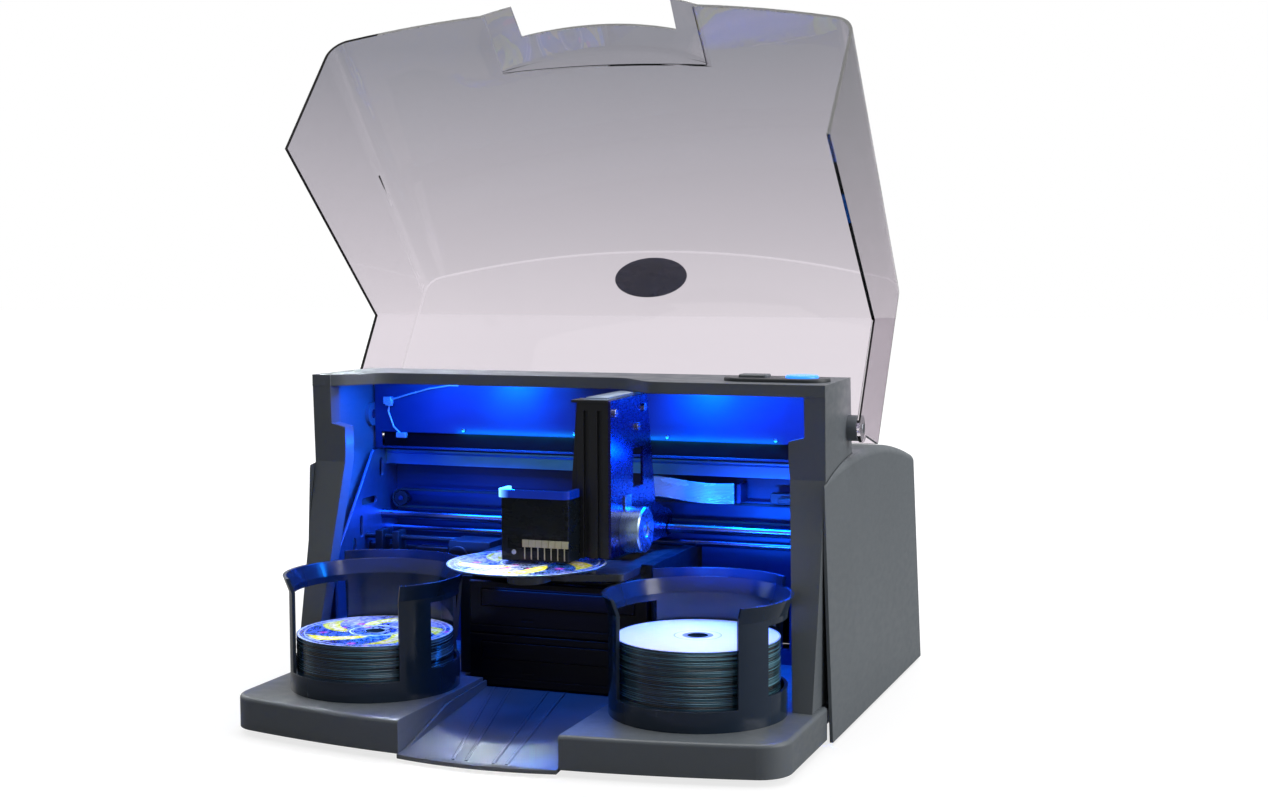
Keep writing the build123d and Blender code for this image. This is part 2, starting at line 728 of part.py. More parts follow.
def drive_cage():
    cage = both_sides(block(DRIVE_HALF + 1.2, DRIVE_HALF + 2.8, 60, 212, DECK_BOTTOM + 2, 104.6))
    cage += block(-DRIVE_HALF - 2.8, DRIVE_HALF + 2.8, 60, 212, 103.2, 104.6)
    cage += block(-DRIVE_HALF - 2.8, DRIVE_HALF + 2.8, 60, 212, DECK_BOTTOM + 2, DECK_BOTTOM + 3.4)
    cage += block(-DRIVE_HALF - 2, DRIVE_HALF + 2, 70, 90, DECK_BOTTOM + 2, DRIVE_Z[0])
    cage += block(-DRIVE_HALF - 2, DRIVE_HALF + 2, 180, 200, DECK_BOTTOM + 2, DRIVE_Z[0])
    reach, flank_y, top = CAGE_FLANK
    cage += both_sides(block(DRIVE_HALF + 1.2, reach, flank_y, flank_y + 1.6, DECK_TOP + 0.3, top))
    for z in (30, 45, 70, 85):
        for y in (95, 150):
            slot = extrude(Plane.XZ * SlotOverall(22, 5), amount=80, both=True)
            cage -= Pos(0, y, z) * Rot(0, 0, 90) * slot
    return cage


# ------------------------------------------------------------------ print tray
def tray_rails():
    rail = block(TRAY_HALF + 0.6, 75.8, 58, 214, 104.6, TRAY_TOP + 1.6)
    rail -= block(0, TRAY_HALF + 4.0, 50, 220, TRAY_TOP - TRAY_T - 0.3, TRAY_TOP + 0.3)
    rail -= rod_x(TIE_ROD[2] + 0.9, 60, 80, TIE_ROD[0], TIE_ROD[1])
    return both_sides_apart(rail)


def print_tray():
    """Flat sliding tray with runners, a disc hub and three rest pads."""
    x, y, disc_z = TRAY_DISC
    right = [*TRAY_FRONT, (TRAY_HALF, TRAY_BACK_Y)]
    plan = outline([(-px, py) for px, py in reversed(right)] + right)
    plan = fillet(plan.vertices().sort_by(Axis.Y)[:4], 5.0)
    tray = Pos(0, 0, TRAY_TOP - TRAY_T) * extrude(plan, amount=TRAY_T)
    tray -= Pos(0, 0, TRAY_TOP - TRAY_T - 1) * extrude(offset(plan, -TRAY_RIM), amount=TRAY_T - 2)
    tray += both_sides(block(TRAY_HALF - 1, TRAY_HALF + 3.6, 60, TRAY_BACK_Y, TRAY_TOP - TRAY_T, TRAY_TOP))
    tray += block(x - HUB_R, x + HUB_R, y, TRAY_FRONT[0][1] + TRAY_RIM, TRAY_TOP - TRAY_T, TRAY_TOP)
    tray += rod_z(HUB_R, TRAY_TOP - TRAY_T, TRAY_TOP, x, y)
    tray += rod_z(13, TRAY_TOP, disc_z, x, y) + rod_z(DISC_HOLE_R - 0.3, disc_z, disc_z + 1.4, x, y)
    for angle in (30, 90, 150):
        px = x + 48 * math.cos(math.radians(angle))
        py = y + 48 * math.sin(math.radians(angle))
        tray += rod_z(4, TRAY_TOP - 1, disc_z, px, py)
    for px in (-40, 0, 40):
        tray -= Pos(px, 110, TRAY_TOP) * Box(20, 60, 20)
    return tray


def tray_disc():
    x, y, z = TRAY_DISC
    return rod_z(DISC_R, z, z + DISC_T, x, y) - rod_z(DISC_HOLE_R, z - 1, z + 3, x, y)


# ------------------------------------------------------------------ printer frame
def printer_frame(side):
    """Trapezoid sheet-steel end plate, slotted, with a foot flange."""
    x0, x1 = FRAME_X, FRAME_X + FRAME_T
    plate = side_prism(
        [(62, DECK_TOP), (62, 112), (127, 194), (167.7, 194), (167.7, DECK_TOP)], x0, x1, 2.0
    )
    for y, z, length, height, angle in (
        (104, 132, 18, 5, 90),
        (118, 152, 26, 6, 0),
        (140, 178, 16, 6, 90),
        (120, 108, 20, 7, 90),
        (92, 118, 12, 6, 90),
        (84, 108, 12, 6, 90),
        (100, 70, 40, 14, 0),
    ):
        slot = Plane.YZ * (Rot(0, 0, angle) * SlotOverall(length, height))
        plate -= Pos(FRAME_X - 5, y, z) * extrude(slot, amount=12)
    plate += block(x0 - 8, x0 + 1, 80, 150, DECK_TOP, DECK_TOP + 2)
    plate -= rod_x(ROD[2], x0 - 1, x1 + 1, ROD[0], ROD[1])
    plate -= rod_x(TIE_ROD[2], x0 - 1, x1 + 1, TIE_ROD[0], TIE_ROD[1])
    return plate if side > 0 else mirror(plate, Plane.YZ)


def bay_back_wall():
    """Painted bulkhead behind the picker's bay, cut out for the drives and the tray."""
    back_y = BAY_BACK_Y + 1.8
    front_y = BAY_BACK_Y + 0.2
    wall = block(-203, 203, front_y, back_y, DECK_TOP - 3, BAY_SHELF_Z)
    wall -= block(-79, 79, 160, 180, 0, TRAY_TOP + 2.2)
    wall -= rod_y(4.5, 160, 180, BELT_PULLEY_X, BELT_Z)
    for x in (-150, -120, -90, 90, 120, 150):
        wall -= Pos(x, BAY_BACK_Y, 60) * Box(6, 10, 40)
    upper = block(-203, 203, BAY_UPPER_Y, BAY_UPPER_Y + 1.4, BAY_SHELF_Z, TOWER_TOP - BRIDGE_PLATE - 1)
    upper -= block(-BAY_SLOT[0], BAY_SLOT[0], 130, 150, BAY_SHELF_Z + 0.6, BAY_SLOT[1])
    shelf = block(-203, 203, BAY_UPPER_Y, back_y, BAY_SHELF_Z - 1.4, BAY_SHELF_Z)
    idler_pin = rod_y(SHAFT_R, BELT_Y[0] - 1, back_y, -BELT_PULLEY_X, BELT_Z)
    return wall + upper + shelf + idler_pin


def cross_beam():
    """Folded steel channel that ties the two end plates together behind the carriage."""
    beam = block(-FRAME_X, FRAME_X, BEAM_Y[0], BEAM_Y[1], BEAM_Z[0], BEAM_Z[1])
    return beam - block(-250, 250, BEAM_Y[0] + 1.5, BEAM_Y[1] - 1.5, BEAM_Z[0] - 1, BEAM_Z[1] - 1.5)


def guide_rod():
    return rod_x(ROD[2], -FRAME_X - FRAME_T, FRAME_X + FRAME_T, ROD[0], ROD[1])


def tie_rod():
    return rod_x(TIE_ROD[2], -FRAME_X - FRAME_T, FRAME_X + FRAME_T, TIE_ROD[0], TIE_ROD[1])


def belt_loop(radius, span, width, thickness):
    """A belt round two equal wheels on the X axis, centred, its width along Z."""
    outer = SlotCenterToCenter(span, 2 * (radius + thickness))
    inner = SlotCenterToCenter(span, 2 * radius)
    return extrude(outer - inner, amount=width)


def carriage_belt():
    loop = belt_loop(BELT_PULLEY_R + 0.3, 2 * BELT_PULLEY_X, BELT_Y[1] - BELT_Y[0], BELT_T)
    return Pos(0, BELT_Y[1], BELT_Z) * Rot(90, 0, 0) * loop


def toothed_wheel(radius, width, teeth, bore):
    """A belt pulley along Z with moulded teeth, and a bore if it runs on a pin."""
    wheel = Cylinder(radius, width - 0.6)
    for tooth in range(teeth):
        wheel -= Rot(0, 0, tooth * 360 / teeth) * Pos(radius, 0, 0) * Box(1.2, 1.1, width)
    if bore:
        wheel -= Cylinder(bore, width * 2)
    return wheel


def drive_pulley():
    wheel = toothed_wheel(BELT_PULLEY_R, BELT_Y[1] - BELT_Y[0], 16, 0)
    y = (BELT_Y[0] + BELT_Y[1]) / 2
    wheel = Pos(BELT_PULLEY_X, y, BELT_Z) * Rot(90, 0, 0) * wheel
    return wheel + rod_y(SHAFT_R, y, 178, BELT_PULLEY_X, BELT_Z)


def belt_motor():
    motor = rod_y(15, BAY_BACK_Y + 1.9, 200, BELT_PULLEY_X, BELT_Z)
    motor = chamfer(motor.edges().sort_by(Axis.Y)[-1], 1.5)
    return motor - rod_y(SHAFT_R + RUN, BAY_BACK_Y - 5, 179, BELT_PULLEY_X, BELT_Z)


def idler_pulley():
    wheel = toothed_wheel(BELT_PULLEY_R, BELT_Y[1] - BELT_Y[0], 16, SHAFT_R + RUN)
    return Pos(-BELT_PULLEY_X, (BELT_Y[0] + BELT_Y[1]) / 2, BELT_Z) * Rot(90, 0, 0) * wheel


def ribbon_cable():
    """Flat grey cable held by two clips in front of the bulkhead."""
    width = 0.8
    line = Spline((66, 152), (78, 150.5), (90, 148), (102, 150.5), (114, 152), tangents=((1, 0), (1, 0)))
    face = make_face(
        line
        + Line((114, 152), (114, 152 + width))
        + Spline(
            (114, 152 + width),
            (102, 150.5 + width),
            (90, 148 + width),
            (78, 150.5 + width),
            (66, 152 + width),
            tangents=((-1, 0), (-1, 0)),
        )
        + Line((66, 152 + width), (66, 152))
    )
    return Pos(0, 0, 159) * extrude(face, amount=15)


def ribbon_clips():
    clips = []
    for x0, x1 in ((62.5, 66), (114, 117.5)):
        clips.append(block(x0, x1, 150.5, BAY_BACK_Y + 0.2, 159, 174))
    return Compound(children=clips)


# ------------------------------------------------------------------ carriage
def carriage_plate():
    """Pressed steel arm that reaches from the guide rod out over the bins."""
    plate = side_prism(
        [(14, 132), (152, 132), (152, 150), (112, 163), (93, 250), (14, 250)], *PLATE_X, 2.0
    )
    plate -= rod_x(3.0, 50, 65, LIFT_Y, LIFT_Z[0])
    plate -= rod_x(ROD[2] + 2.2, 50, 65, ROD[0], ROD[1])
    for y, z in ((22, 240), (84, 240), (70, 226)):
        plate -= rod_x(1.6, 50, 65, y, z)
    plate -= Pos(58, 72, 195) * Box(10, 22, 30)
    plate += rod_x(SHAFT_R, PLATE_X[0] - 13, PLATE_X[0] + 0.5, LIFT_Y, LIFT_Z[1])
    return plate


def carriage_block():
    """Bearing block on the guide rod, with the belt clamp behind it."""
    body = block(30, PLATE_X[0], 130.5, 152, 130.8, 150)
    body = fillet(body.edges().filter_by(Axis.X), 1.5)
    body += block(38, 52, 151.5, 153.7, 132.5, 148)
    return body - rod_x(BUSH_R, 20, 70, ROD[0], ROD[1])


def rod_bushes():
    bushes = []
    for x0, x1 in ((30, 38), (49, 57)):
        bushes.append(rod_x(BUSH_R, x0, x1, ROD[0], ROD[1]) - rod_x(ROD[2] + RUN, 20, 70, ROD[0], ROD[1]))
    return Compound(children=bushes)


def lift_column():
    """Moulded lift column with front guide grooves and a tapered fin."""
    x0, x1 = COLUMN_X
    y0, y1 = COLUMN_Y
    column = block(x0 + 6, x1, y0, y1, *COLUMN_Z)
    column -= block(x0 + 12, x1 - 12, y0 + 4, y1 + 5, COLUMN_Z[0] - 5, COLUMN_Z[1] - 8)
    fin = front_prism(
        [(x0 + 7, COLUMN_Z[0]), (x0, COLUMN_Z[0]), (x0, 190), (x0 + 4, COLUMN_Z[1]), (x0 + 7, COLUMN_Z[1])],
        y0 + 4,
        y0 + 8,
    )
    column += fin
    for x in (x0 + 11, x1 - 9):
        column -= block(x, x + 4, y0 - 1, y0 + 2.5, COLUMN_Z[0] - 5, COLUMN_Z[1] - 6)
    cap = block(x0 + 2, x1, y0 - 2, y1 + 2, COLUMN_Z[1], COLUMN_Z[1] + 2)
    return column + cap


def lift_motor():
    """Pancake stepper on the outer face of the arm, its shaft through the plate."""
    x0 = PLATE_X[1]
    motor = rod_x(MOTOR_R, x0, x0 + MOTOR_L, LIFT_Y, LIFT_Z[0])
    motor = chamfer(motor.edges().sort_by(Axis.X)[-1], 1.2)
    motor += block(x0, x0 + 1.2, LIFT_Y - 7, LIFT_Y + 7, LIFT_Z[0] - MOTOR_R + 2, LIFT_Z[0] + 26)
    motor -= rod_x(6.0, x0 + MOTOR_L - 1.0, x0 + MOTOR_L + 5, LIFT_Y, LIFT_Z[0])
    motor += rod_x(3.0, x0 + MOTOR_L - 1.2, x0 + MOTOR_L - 0.2, LIFT_Y, LIFT_Z[0])
    return motor - rod_x(SHAFT_R + RUN, x0 - 5, x0 + 9, LIFT_Y, LIFT_Z[0])


def lift_belt():
    span = LIFT_Z[1] - LIFT_Z[0]
    loop = belt_loop(LIFT_PULLEY_R + 0.3, span, 6, 1.2)
    middle = (LIFT_Z[0] + LIFT_Z[1]) / 2
    return Pos(46, LIFT_Y, middle) * Rot(0, 90, 0) * loop


def lift_pulley(z, bore):
    wheel = toothed_wheel(LIFT_PULLEY_R, 6, 14, bore)
    return Pos(49, LIFT_Y, z) * Rot(0, 90, 0) * wheel


def motor_pulley():
    return lift_pulley(LIFT_Z[0], 0) + rod_x(SHAFT_R, 48, PLATE_X[1] + 8, LIFT_Y, LIFT_Z[0])


def carriage_screws():
    screws = []
    for y, z in ((22, 240), (84, 240), (70, 226)):
        head = rod_x(3.2, PLATE_X[1], PLATE_X[1] + 1.8, y, z)
        screws.append(head - block(PLATE_X[1] + 1.0, PLATE_X[1] + 3, y - 2.4, y + 2.4, z - 0.4, z + 0.4))
    return Compound(children=screws)


# ------------------------------------------------------------------ lift head
def head_box():
    """Cartridge head: tapered box with a stepped front, open top and a vent panel."""
    x0, x1 = HEAD_X
    y0, y1 = HEAD_Y
    z0, z1 = HEAD_Z
    body = block(x0, x1, y0, y1, z0, z1)
    body = fillet(body.edges().filter_by(Axis.Z).sort_by(Axis.Y)[:2], 2.0)
    body -= block(x0 + 2.5, x1 - 2.5, y0 + 2.5, y1 - 2.5, z0 + 20, z1 + 5)
    body -= block(x0 + 6, x1 + 5, y0 - 1, y0 + 1.2, z0 + 9, z0 + 17)
    for side_x in (x0 + 0.6, x1 - 3.2):
        for step in range(3):
            body -= block(side_x, side_x + 2.6, y0 - 1, y0 + 0.8, z0 + 24 + 7 * step, z0 + 27 + 7 * step)
    return body


def head_bracket():
    """Steel bracket that carries the head round the column to the lift belt."""
    side = block(22.0, 25.6, HEAD_Y[1], 39.2, 152, 174)
    foot = block(4, 25.6, HEAD_Y[1], HEAD_Y[1] + 0.4, 152, 174)
    rear = block(22.0, 52.0, 33.6, 39.2, 154, 172)
    return side + foot + rear


def contact_strip():
    """Plated contact strip across the foot of the head."""
    x0, x1 = HEAD_X
    strip = block(x0 + 7, x1 - 2, HEAD_Y[0] + 0.1, HEAD_Y[0] + 1.2, HEAD_Z[0] + 10, HEAD_Z[0] + 16)
    for cut in range(6):
        x = x0 + 12.5 + 6.2 * cut
        strip -= block(x, x + 1.2, HEAD_Y[0] - 1, HEAD_Y[0] + 0.7, HEAD_Z[0] + 9, HEAD_Z[0] + 17)
    return strip


def contact_pins():
    pins = []
    for pin in range(7):
        x = HEAD_X[0] + 10 + 6.2 * pin
        pins.append(block(x, x + 1.6, HEAD_Y[0] - 0.7, HEAD_Y[0], HEAD_Z[0] + 2, HEAD_Z[0] + 9))
    return Compound(children=pins)


def light_guide():
    """Curved clear guide that rims the top of the head."""
    x0, x1 = HEAD_X
    z = HEAD_Z[1]
    ring = block(x0 - 2.5, x1 + 1, HEAD_Y[0] - 2.0, HEAD_Y[1] - 3, z, z + 6)
    ring = fillet(ring.edges().filter_by(Axis.Z).sort_by(Axis.Y)[:2], 6.0)
    core = block(x0 + 0.5, x1 - 2, HEAD_Y[0] + 1.0, HEAD_Y[1] + 5, z - 1, z + 7)
    return ring - core


def disc_chuck():
    """Short three-jaw plug under the head that grips a disc by its hole."""
    x, y = 26.0, 2.5
    chuck = rod_z(5.5, HEAD_Z[0] - 0.9, HEAD_Z[0], x, y)
    for angle in (0, 120, 240):
        chuck -= Pos(x, y, HEAD_Z[0]) * Rot(0, 0, angle) * Pos(5, 0, -0.9) * Box(6, 0.8, 0.8)
    return chuck


# ------------------------------------------------------------------ lights and controls
def led_boards():
    top = TOWER_TOP - BRIDGE_PLATE
    return Compound(children=[block(x - 20, x + 20, y - 6, y + 6, top - 1.6, top) for x, y in LED_PLACES])


def led_lenses():
    top = TOWER_TOP - BRIDGE_PLATE - 1.6
    lenses = []
    for x, y in LED_PLACES:
        bar = block(x - 14, x + 14, y - 3, y + 3, top - 3.2, top)
        lenses.append(fillet(bar.edges().filter_by(Axis.Z), 2.5))
    return Compound(children=lenses)


def control_pad():
    """Raised oval pad with two key wells."""
    x, y = PAD
    pad = Pos(x, y, TOWER_TOP) * extrude(SlotOverall(2 * PAD_HALF[0], 2 * PAD_HALF[1]), amount=PAD_T)
    pad = fillet(pad.faces().sort_by(Axis.Z)[-1].edges(), 1.2)
    well = Box(KEY_SIZE[0] + 0.6, KEY_SIZE[1] + 0.6, 10)
    pad -= Pos(KEY[0], KEY[1], TOWER_TOP + WELL_FLOOR + 5) * well
    pad -= rod_z(BUTTON_R + 0.3, TOWER_TOP + WELL_FLOOR, TOWER_TOP + 10, *BUTTON)
    return pad


def power_key():
    key = Pos(KEY[0], KEY[1], TOWER_TOP + (KEY_BOTTOM + KEY_TOP) / 2) * Box(*KEY_SIZE, KEY_TOP - KEY_BOTTOM)
    key = fillet(key.edges().filter_by(Axis.Z), 2.0)
    return chamfer(key.faces().sort_by(Axis.Z)[-1].edges(), 0.8)


def load_button():
    cap = rod_z(BUTTON_R, TOWER_TOP + KEY_BOTTOM, TOWER_TOP + BUTTON_TOP, *BUTTON)
    return fillet(cap.edges().sort_by(Axis.Z)[-1], 1.4)


# ------------------------------------------------------------------ write every piece
PIECES = {
    "base_pan": base_pan,
    "rubber_feet": rubber_feet,
    "front_deck": front_deck,
    "exit_chute": exit_chute,
    "tower_shell": tower_shell,
    "hinge_pins": hinge_pins,
    "rear_housing": rear_housing,
    "back_panel": back_panel,
    "housing_screws": housing_screws,
    "power_inlet": power_inlet,
    "usb_socket": usb_socket,
    "fan_frame": fan_frame,
    "fan_rotor": fan_rotor,
    "control_board": control_board,
    "lid_shell": lid_shell,
    "lid_badge": lid_badge,
    "input_bin": lambda: disc_bin(1),
    "output_bin": lambda: disc_bin(-1),
    "blank_discs": lambda: disc_stack(BLANK_DISCS, BIN_X),
    "printed_discs": lambda: disc_stack(PRINTED_DISCS, -BIN_X),
    "drive_cage": drive_cage,
    "lower_drive": lambda: drive_case(DRIVE_Z[0]),
    "upper_drive": lambda: drive_case(DRIVE_Z[1]),
    "lower_drive_tray": lambda: drive_tray(DRIVE_Z[0]),
    "upper_drive_tray": lambda: drive_tray(DRIVE_Z[1]),
    "tray_rails": tray_rails,
    "print_tray": print_tray,
    "tray_disc": tray_disc,
    "left_frame": lambda: printer_frame(-1),
    "right_frame": lambda: printer_frame(1),
    "bay_back_wall": bay_back_wall,
    "cross_beam": cross_beam,
    "guide_rod": guide_rod,
    "tie_rod": tie_rod,
    "carriage_belt": carriage_belt,
    "drive_pulley": drive_pulley,
    "belt_motor": belt_motor,
    "idler_pulley": idler_pulley,
    "ribbon_cable": ribbon_cable,
    "ribbon_clips": ribbon_clips,
    "carriage_plate": carriage_plate,
    "carriage_block": carriage_block,
    "rod_bushes": rod_bushes,
    "lift_column": lift_column,
    "lift_motor": lift_motor,
    "lift_belt": lift_belt,
    "motor_pulley": motor_pulley,
    "top_pulley": lambda: lift_pulley(LIFT_Z[1], SHAFT_R + RUN),
    "carriage_screws": carriage_screws,
    "head_box": head_box,
    "head_bracket": head_bracket,
    "contact_strip": contact_strip,
    "contact_pins": contact_pins,
    "light_guide": light_guide,
    "disc_chuck": disc_chuck,
    "led_boards": led_boards,
    "led_lenses": led_lenses,
    "control_pad": control_pad,
    "power_key": power_key,
    "load_button": load_button,
}

os.makedirs("parts", exist_ok=True)
for piece_name, draw in PIECES.items():
    piece = write(piece_name, draw())
    box = piece.bounding_box()
    print(piece_name, len(piece.solids()), "solids", round(piece.volume), "mm3", box.min, box.max)
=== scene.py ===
"""Looks of the disc label printer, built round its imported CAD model.

Materials come first, then the pieces that replace or add to CAD nodes, then floor, world and
lamps. Places in the drawn frame are in millimetres, and everything in Blender is in metres.
"""

import math
import random

import bmesh
import bpy
from mathutils import Matrix, Vector


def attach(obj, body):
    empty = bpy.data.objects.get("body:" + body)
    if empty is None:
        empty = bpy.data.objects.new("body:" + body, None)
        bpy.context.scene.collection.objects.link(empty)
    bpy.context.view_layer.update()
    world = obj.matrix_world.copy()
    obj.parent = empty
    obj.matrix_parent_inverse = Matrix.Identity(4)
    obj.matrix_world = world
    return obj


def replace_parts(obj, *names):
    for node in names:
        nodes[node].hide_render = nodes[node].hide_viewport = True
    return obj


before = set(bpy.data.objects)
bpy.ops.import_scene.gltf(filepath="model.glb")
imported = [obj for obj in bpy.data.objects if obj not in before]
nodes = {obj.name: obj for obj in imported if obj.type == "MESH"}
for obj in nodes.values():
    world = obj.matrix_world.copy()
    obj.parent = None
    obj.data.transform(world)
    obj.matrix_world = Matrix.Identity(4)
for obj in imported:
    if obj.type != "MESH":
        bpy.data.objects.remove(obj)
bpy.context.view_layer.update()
chance = random.Random(11)

# ---------------------------------------------------------------- the drawn frame
# The CAD source draws about the bins' centre line, with z = 0 under the chute's lip.
SHIFT = Vector((0.0, -126.85, 2.5))
MM = 0.001
BIN_X = 131.3
BIN_FLOOR = 42.0
DISC_R = 60.0
DISC_HOLE_R = 7.5
DISC_T = 1.2
BLANK_DISCS = 34
PRINTED_DISCS = 22
TRAY_DISC = (-1.7, -2.5, 128.0)
LED_PLACES = ((-75.0, 126.0), (95.0, 126.0))


def at(x, y, z):
    """A place of the drawn frame in the row frame, in metres."""
    return (Vector((x, y, z)) + SHIFT) * MM


# ---------------------------------------------------------------- camera
CAMERA_PLACE = (0.54927, -1.38381, 0.3590)
CAMERA_TURN = 20.3905
CAMERA_DOWN = 4.6427
CAMERA_ROLL = -0.1937
CAMERA_LENS = 52.677
CAMERA_SHIFT = (0.0006, 0.0057)


def make_camera():
    """A camera at the photograph's angle, with Blender's plain view transform."""
    data = bpy.data.cameras.new("camera")
    data.sensor_width = 36.0
    data.lens = CAMERA_LENS
    data.shift_x, data.shift_y = CAMERA_SHIFT
    data.clip_end = 60.0
    camera = bpy.data.objects.new("camera", data)
    turn = Matrix.Rotation(math.radians(CAMERA_TURN), 4, "Z")
    tilt = Matrix.Rotation(math.radians(90 - CAMERA_DOWN), 4, "X")
    roll = Matrix.Rotation(math.radians(CAMERA_ROLL), 4, "Z")
    camera.matrix_world = Matrix.Translation(CAMERA_PLACE) @ turn @ tilt @ roll
    bpy.context.scene.collection.objects.link(camera)
    bpy.context.scene.camera = camera
    bpy.context.scene.view_settings.view_transform = "Standard"
    bpy.context.scene.view_settings.look = "None"


make_camera()


# ---------------------------------------------------------------- material nodes
class Graph:
    """One material's node tree, with short calls for the nodes used here."""

    def __init__(self, name):
        self.material = bpy.data.materials.new(name)
        self.material.use_nodes = True
        self.tree = self.material.node_tree
        self.shader = self.tree.nodes["Principled BSDF"]
        self.output = self.tree.nodes["Material Output"]

    def node(self, kind, **settings):
        made = self.tree.nodes.new("ShaderNode" + kind)
        for key, value in settings.items():
            setattr(made, key, value)
        return made

    def feed(self, value, socket):
        """Links another node's socket, or sets a constant on the socket itself."""
        if isinstance(value, bpy.types.NodeSocket):
            self.tree.links.new(value, socket)
        else:
            socket.default_value = value

    def set(self, **values):
        """Feeds the shader's sockets, named with _ for a space."""
        for key, value in values.items():
            self.feed(value, self.shader.inputs[key.replace("_", " ")])

    def place(self, stretch=(1, 1, 1)):
        source = self.node("TexCoord").outputs["Object"]
        if stretch == (1, 1, 1):
            return source
        mapping = self.node("Mapping")
        mapping.inputs["Scale"].default_value = stretch
        self.feed(source, mapping.inputs["Vector"])
        return mapping.outputs["Vector"]

    def axes(self):
        """The object's own x, y and z at each point, in metres."""
        split = self.node("SeparateXYZ")
        self.feed(self.place(), split.inputs["Vector"])
        return split.outputs["X"], split.outputs["Y"], split.outputs["Z"]

    def noise(self, scale, detail=2.0, stretch=(1, 1, 1), rough=0.5):
        made = self.node("TexNoise")
        self.feed(self.place(stretch), made.inputs["Vector"])
        made.inputs["Scale"].default_value = scale
        made.inputs["Detail"].default_value = detail
        made.inputs["Roughness"].default_value = rough
        return made.outputs["Fac"]

    def spread(self, value, low, high, start=0.35, end=0.65):
        """Maps start..end to low..high, and holds the ends."""
        made = self.node("MapRange")
        self.feed(value, made.inputs["Value"])
        for key, number in (("From Min", start), ("From Max", end), ("To Min", low), ("To Max", high)):
            made.inputs[key].default_value = number
        return made.outputs["Result"]

    def maths(self, operation, *values):
        made = self.node("Math", operation=operation)
        for socket, value in zip(made.inputs, values):
            self.feed(value, socket)
        return made.outputs["Value"]

    def mix(self, share, low, high):
        """Blends two colours, each a socket or three numbers."""
        made = self.node("Mix", data_type="RGBA")
        self.feed(share, made.inputs["Factor"])
        for value, socket in ((low, made.inputs[6]), (high, made.inputs[7])):
            self.feed(value if isinstance(value, bpy.types.NodeSocket) else (*value, 1.0), socket)
        return made.outputs[2]

    def bump(self, height, strength, depth, edge=0.0):
        """Relief of the given depth in metres, over edges rounded by edge metres."""
        made = self.node("Bump")
        made.inputs["Strength"].default_value = strength
        made.inputs["Distance"].default_value = depth
        self.feed(height, made.inputs["Height"])
        if edge:
            rounding = self.node("Bevel", samples=4)
            rounding.inputs["Radius"].default_value = edge
            self.feed(rounding.outputs["Normal"], made.inputs["Normal"])
        self.feed(made.outputs["Normal"], self.shader.inputs["Normal"])


def scaled(colour, factor):
    return tuple(min(1.0, c * factor) for c in colour)


def plastic(name, colour, rough, grain=0.3, size=1300.0, edge=0.0008, spec=0.5, mottle=0.08, metallic=0.0):
    """Moulded plastic, paint or rubber: fine grain, faint cloudiness and uneven gloss."""
    gloss_swing = 0.06
    g = Graph(name)
    cloud = g.spread(g.noise(11.0, 3.0), 0.0, 1.0)
    handled = g.noise(70.0, 4.0, (1, 1, 2.5))
    g.set(
        Base_Color=g.mix(cloud, scaled(colour, 1 - mottle), scaled(colour, 1 + mottle)),
        Roughness=g.spread(handled, rough - gloss_swing, rough + gloss_swing),
        Specular_IOR_Level=spec,
        Metallic=metallic,
    )
    g.bump(g.noise(size, 1.5), grain, 0.00025, edge)
    return g.material


def metal(name, colour, rough, stretch=(1, 1, 1), grain=0.15, size=160.0, edge=0.0005):
    """Rolled, ground or plated metal, its marks drawn out by stretch."""
    g = Graph(name)
    brushed = g.noise(size, 4.0, stretch)
    fine = g.noise(size * 2.0, 3.0, stretch)
    g.set(
        Base_Color=g.mix(g.spread(brushed, 0.0, 1.0), scaled(colour, 0.93), colour),
        Roughness=g.spread(fine, rough - 0.025, rough + 0.03),
        Metallic=1.0,
    )
    g.bump(brushed, grain, 0.0001, edge)
    return g.material


def lit(name, colour, strength, base=(0.2, 0.4, 0.9), rough=0.3):
    """A lens or button with a lamp in it."""
    g = Graph(name)
    cloud = g.noise(300.0, 2.0)
    g.set(
        Base_Color=g.mix(g.spread(cloud, 0.0, 1.0), scaled(base, 0.8), base),
        Roughness=g.spread(cloud, rough - 0.05, rough + 0.08),
        Emission_Strength=strength,
        Emission_Color=(*colour, 1.0),
    )
    return g.material


def smoked_clear():
    """Polished smoke-tinted acrylic, with painted shade that darkens it towards the open lid's upper edge.
    """
    painted_shade_bottom, painted_shade_top = 0.30, 0.53
    g = Graph("smoked acrylic")
    # Painted shade: the acrylic's colour darkens with height between these two heights, in metres.
    depth = g.spread(g.axes()[2], 0.0, 1.0, painted_shade_bottom, painted_shade_top)
    g.set(
        Base_Color=g.mix(depth, (0.72, 0.665, 0.715), (0.29, 0.288, 0.325)),
        Roughness=g.spread(g.noise(240.0, 3.0), 0.0, 0.03),
        IOR=1.49,
        Transmission_Weight=1.0,
    )
    g.bump(g.noise(18.0, 1.0), 0.04, 0.0006)
    # Lamps shine through with a smoky loss, where plain glass would cast a black shadow.
    see = g.node("BsdfTransparent")
    see.inputs["Color"].default_value = (0.62, 0.62, 0.66, 1.0)
    path = g.node("LightPath")
    both = g.node("MixShader")
    g.feed(path.outputs["Is Shadow Ray"], both.inputs["Fac"])
    g.feed(g.shader.outputs["BSDF"], both.inputs[1])
    g.feed(see.outputs["BSDF"], both.inputs[2])
    g.feed(both.outputs["Shader"], g.output.inputs["Surface"])
    return g.material


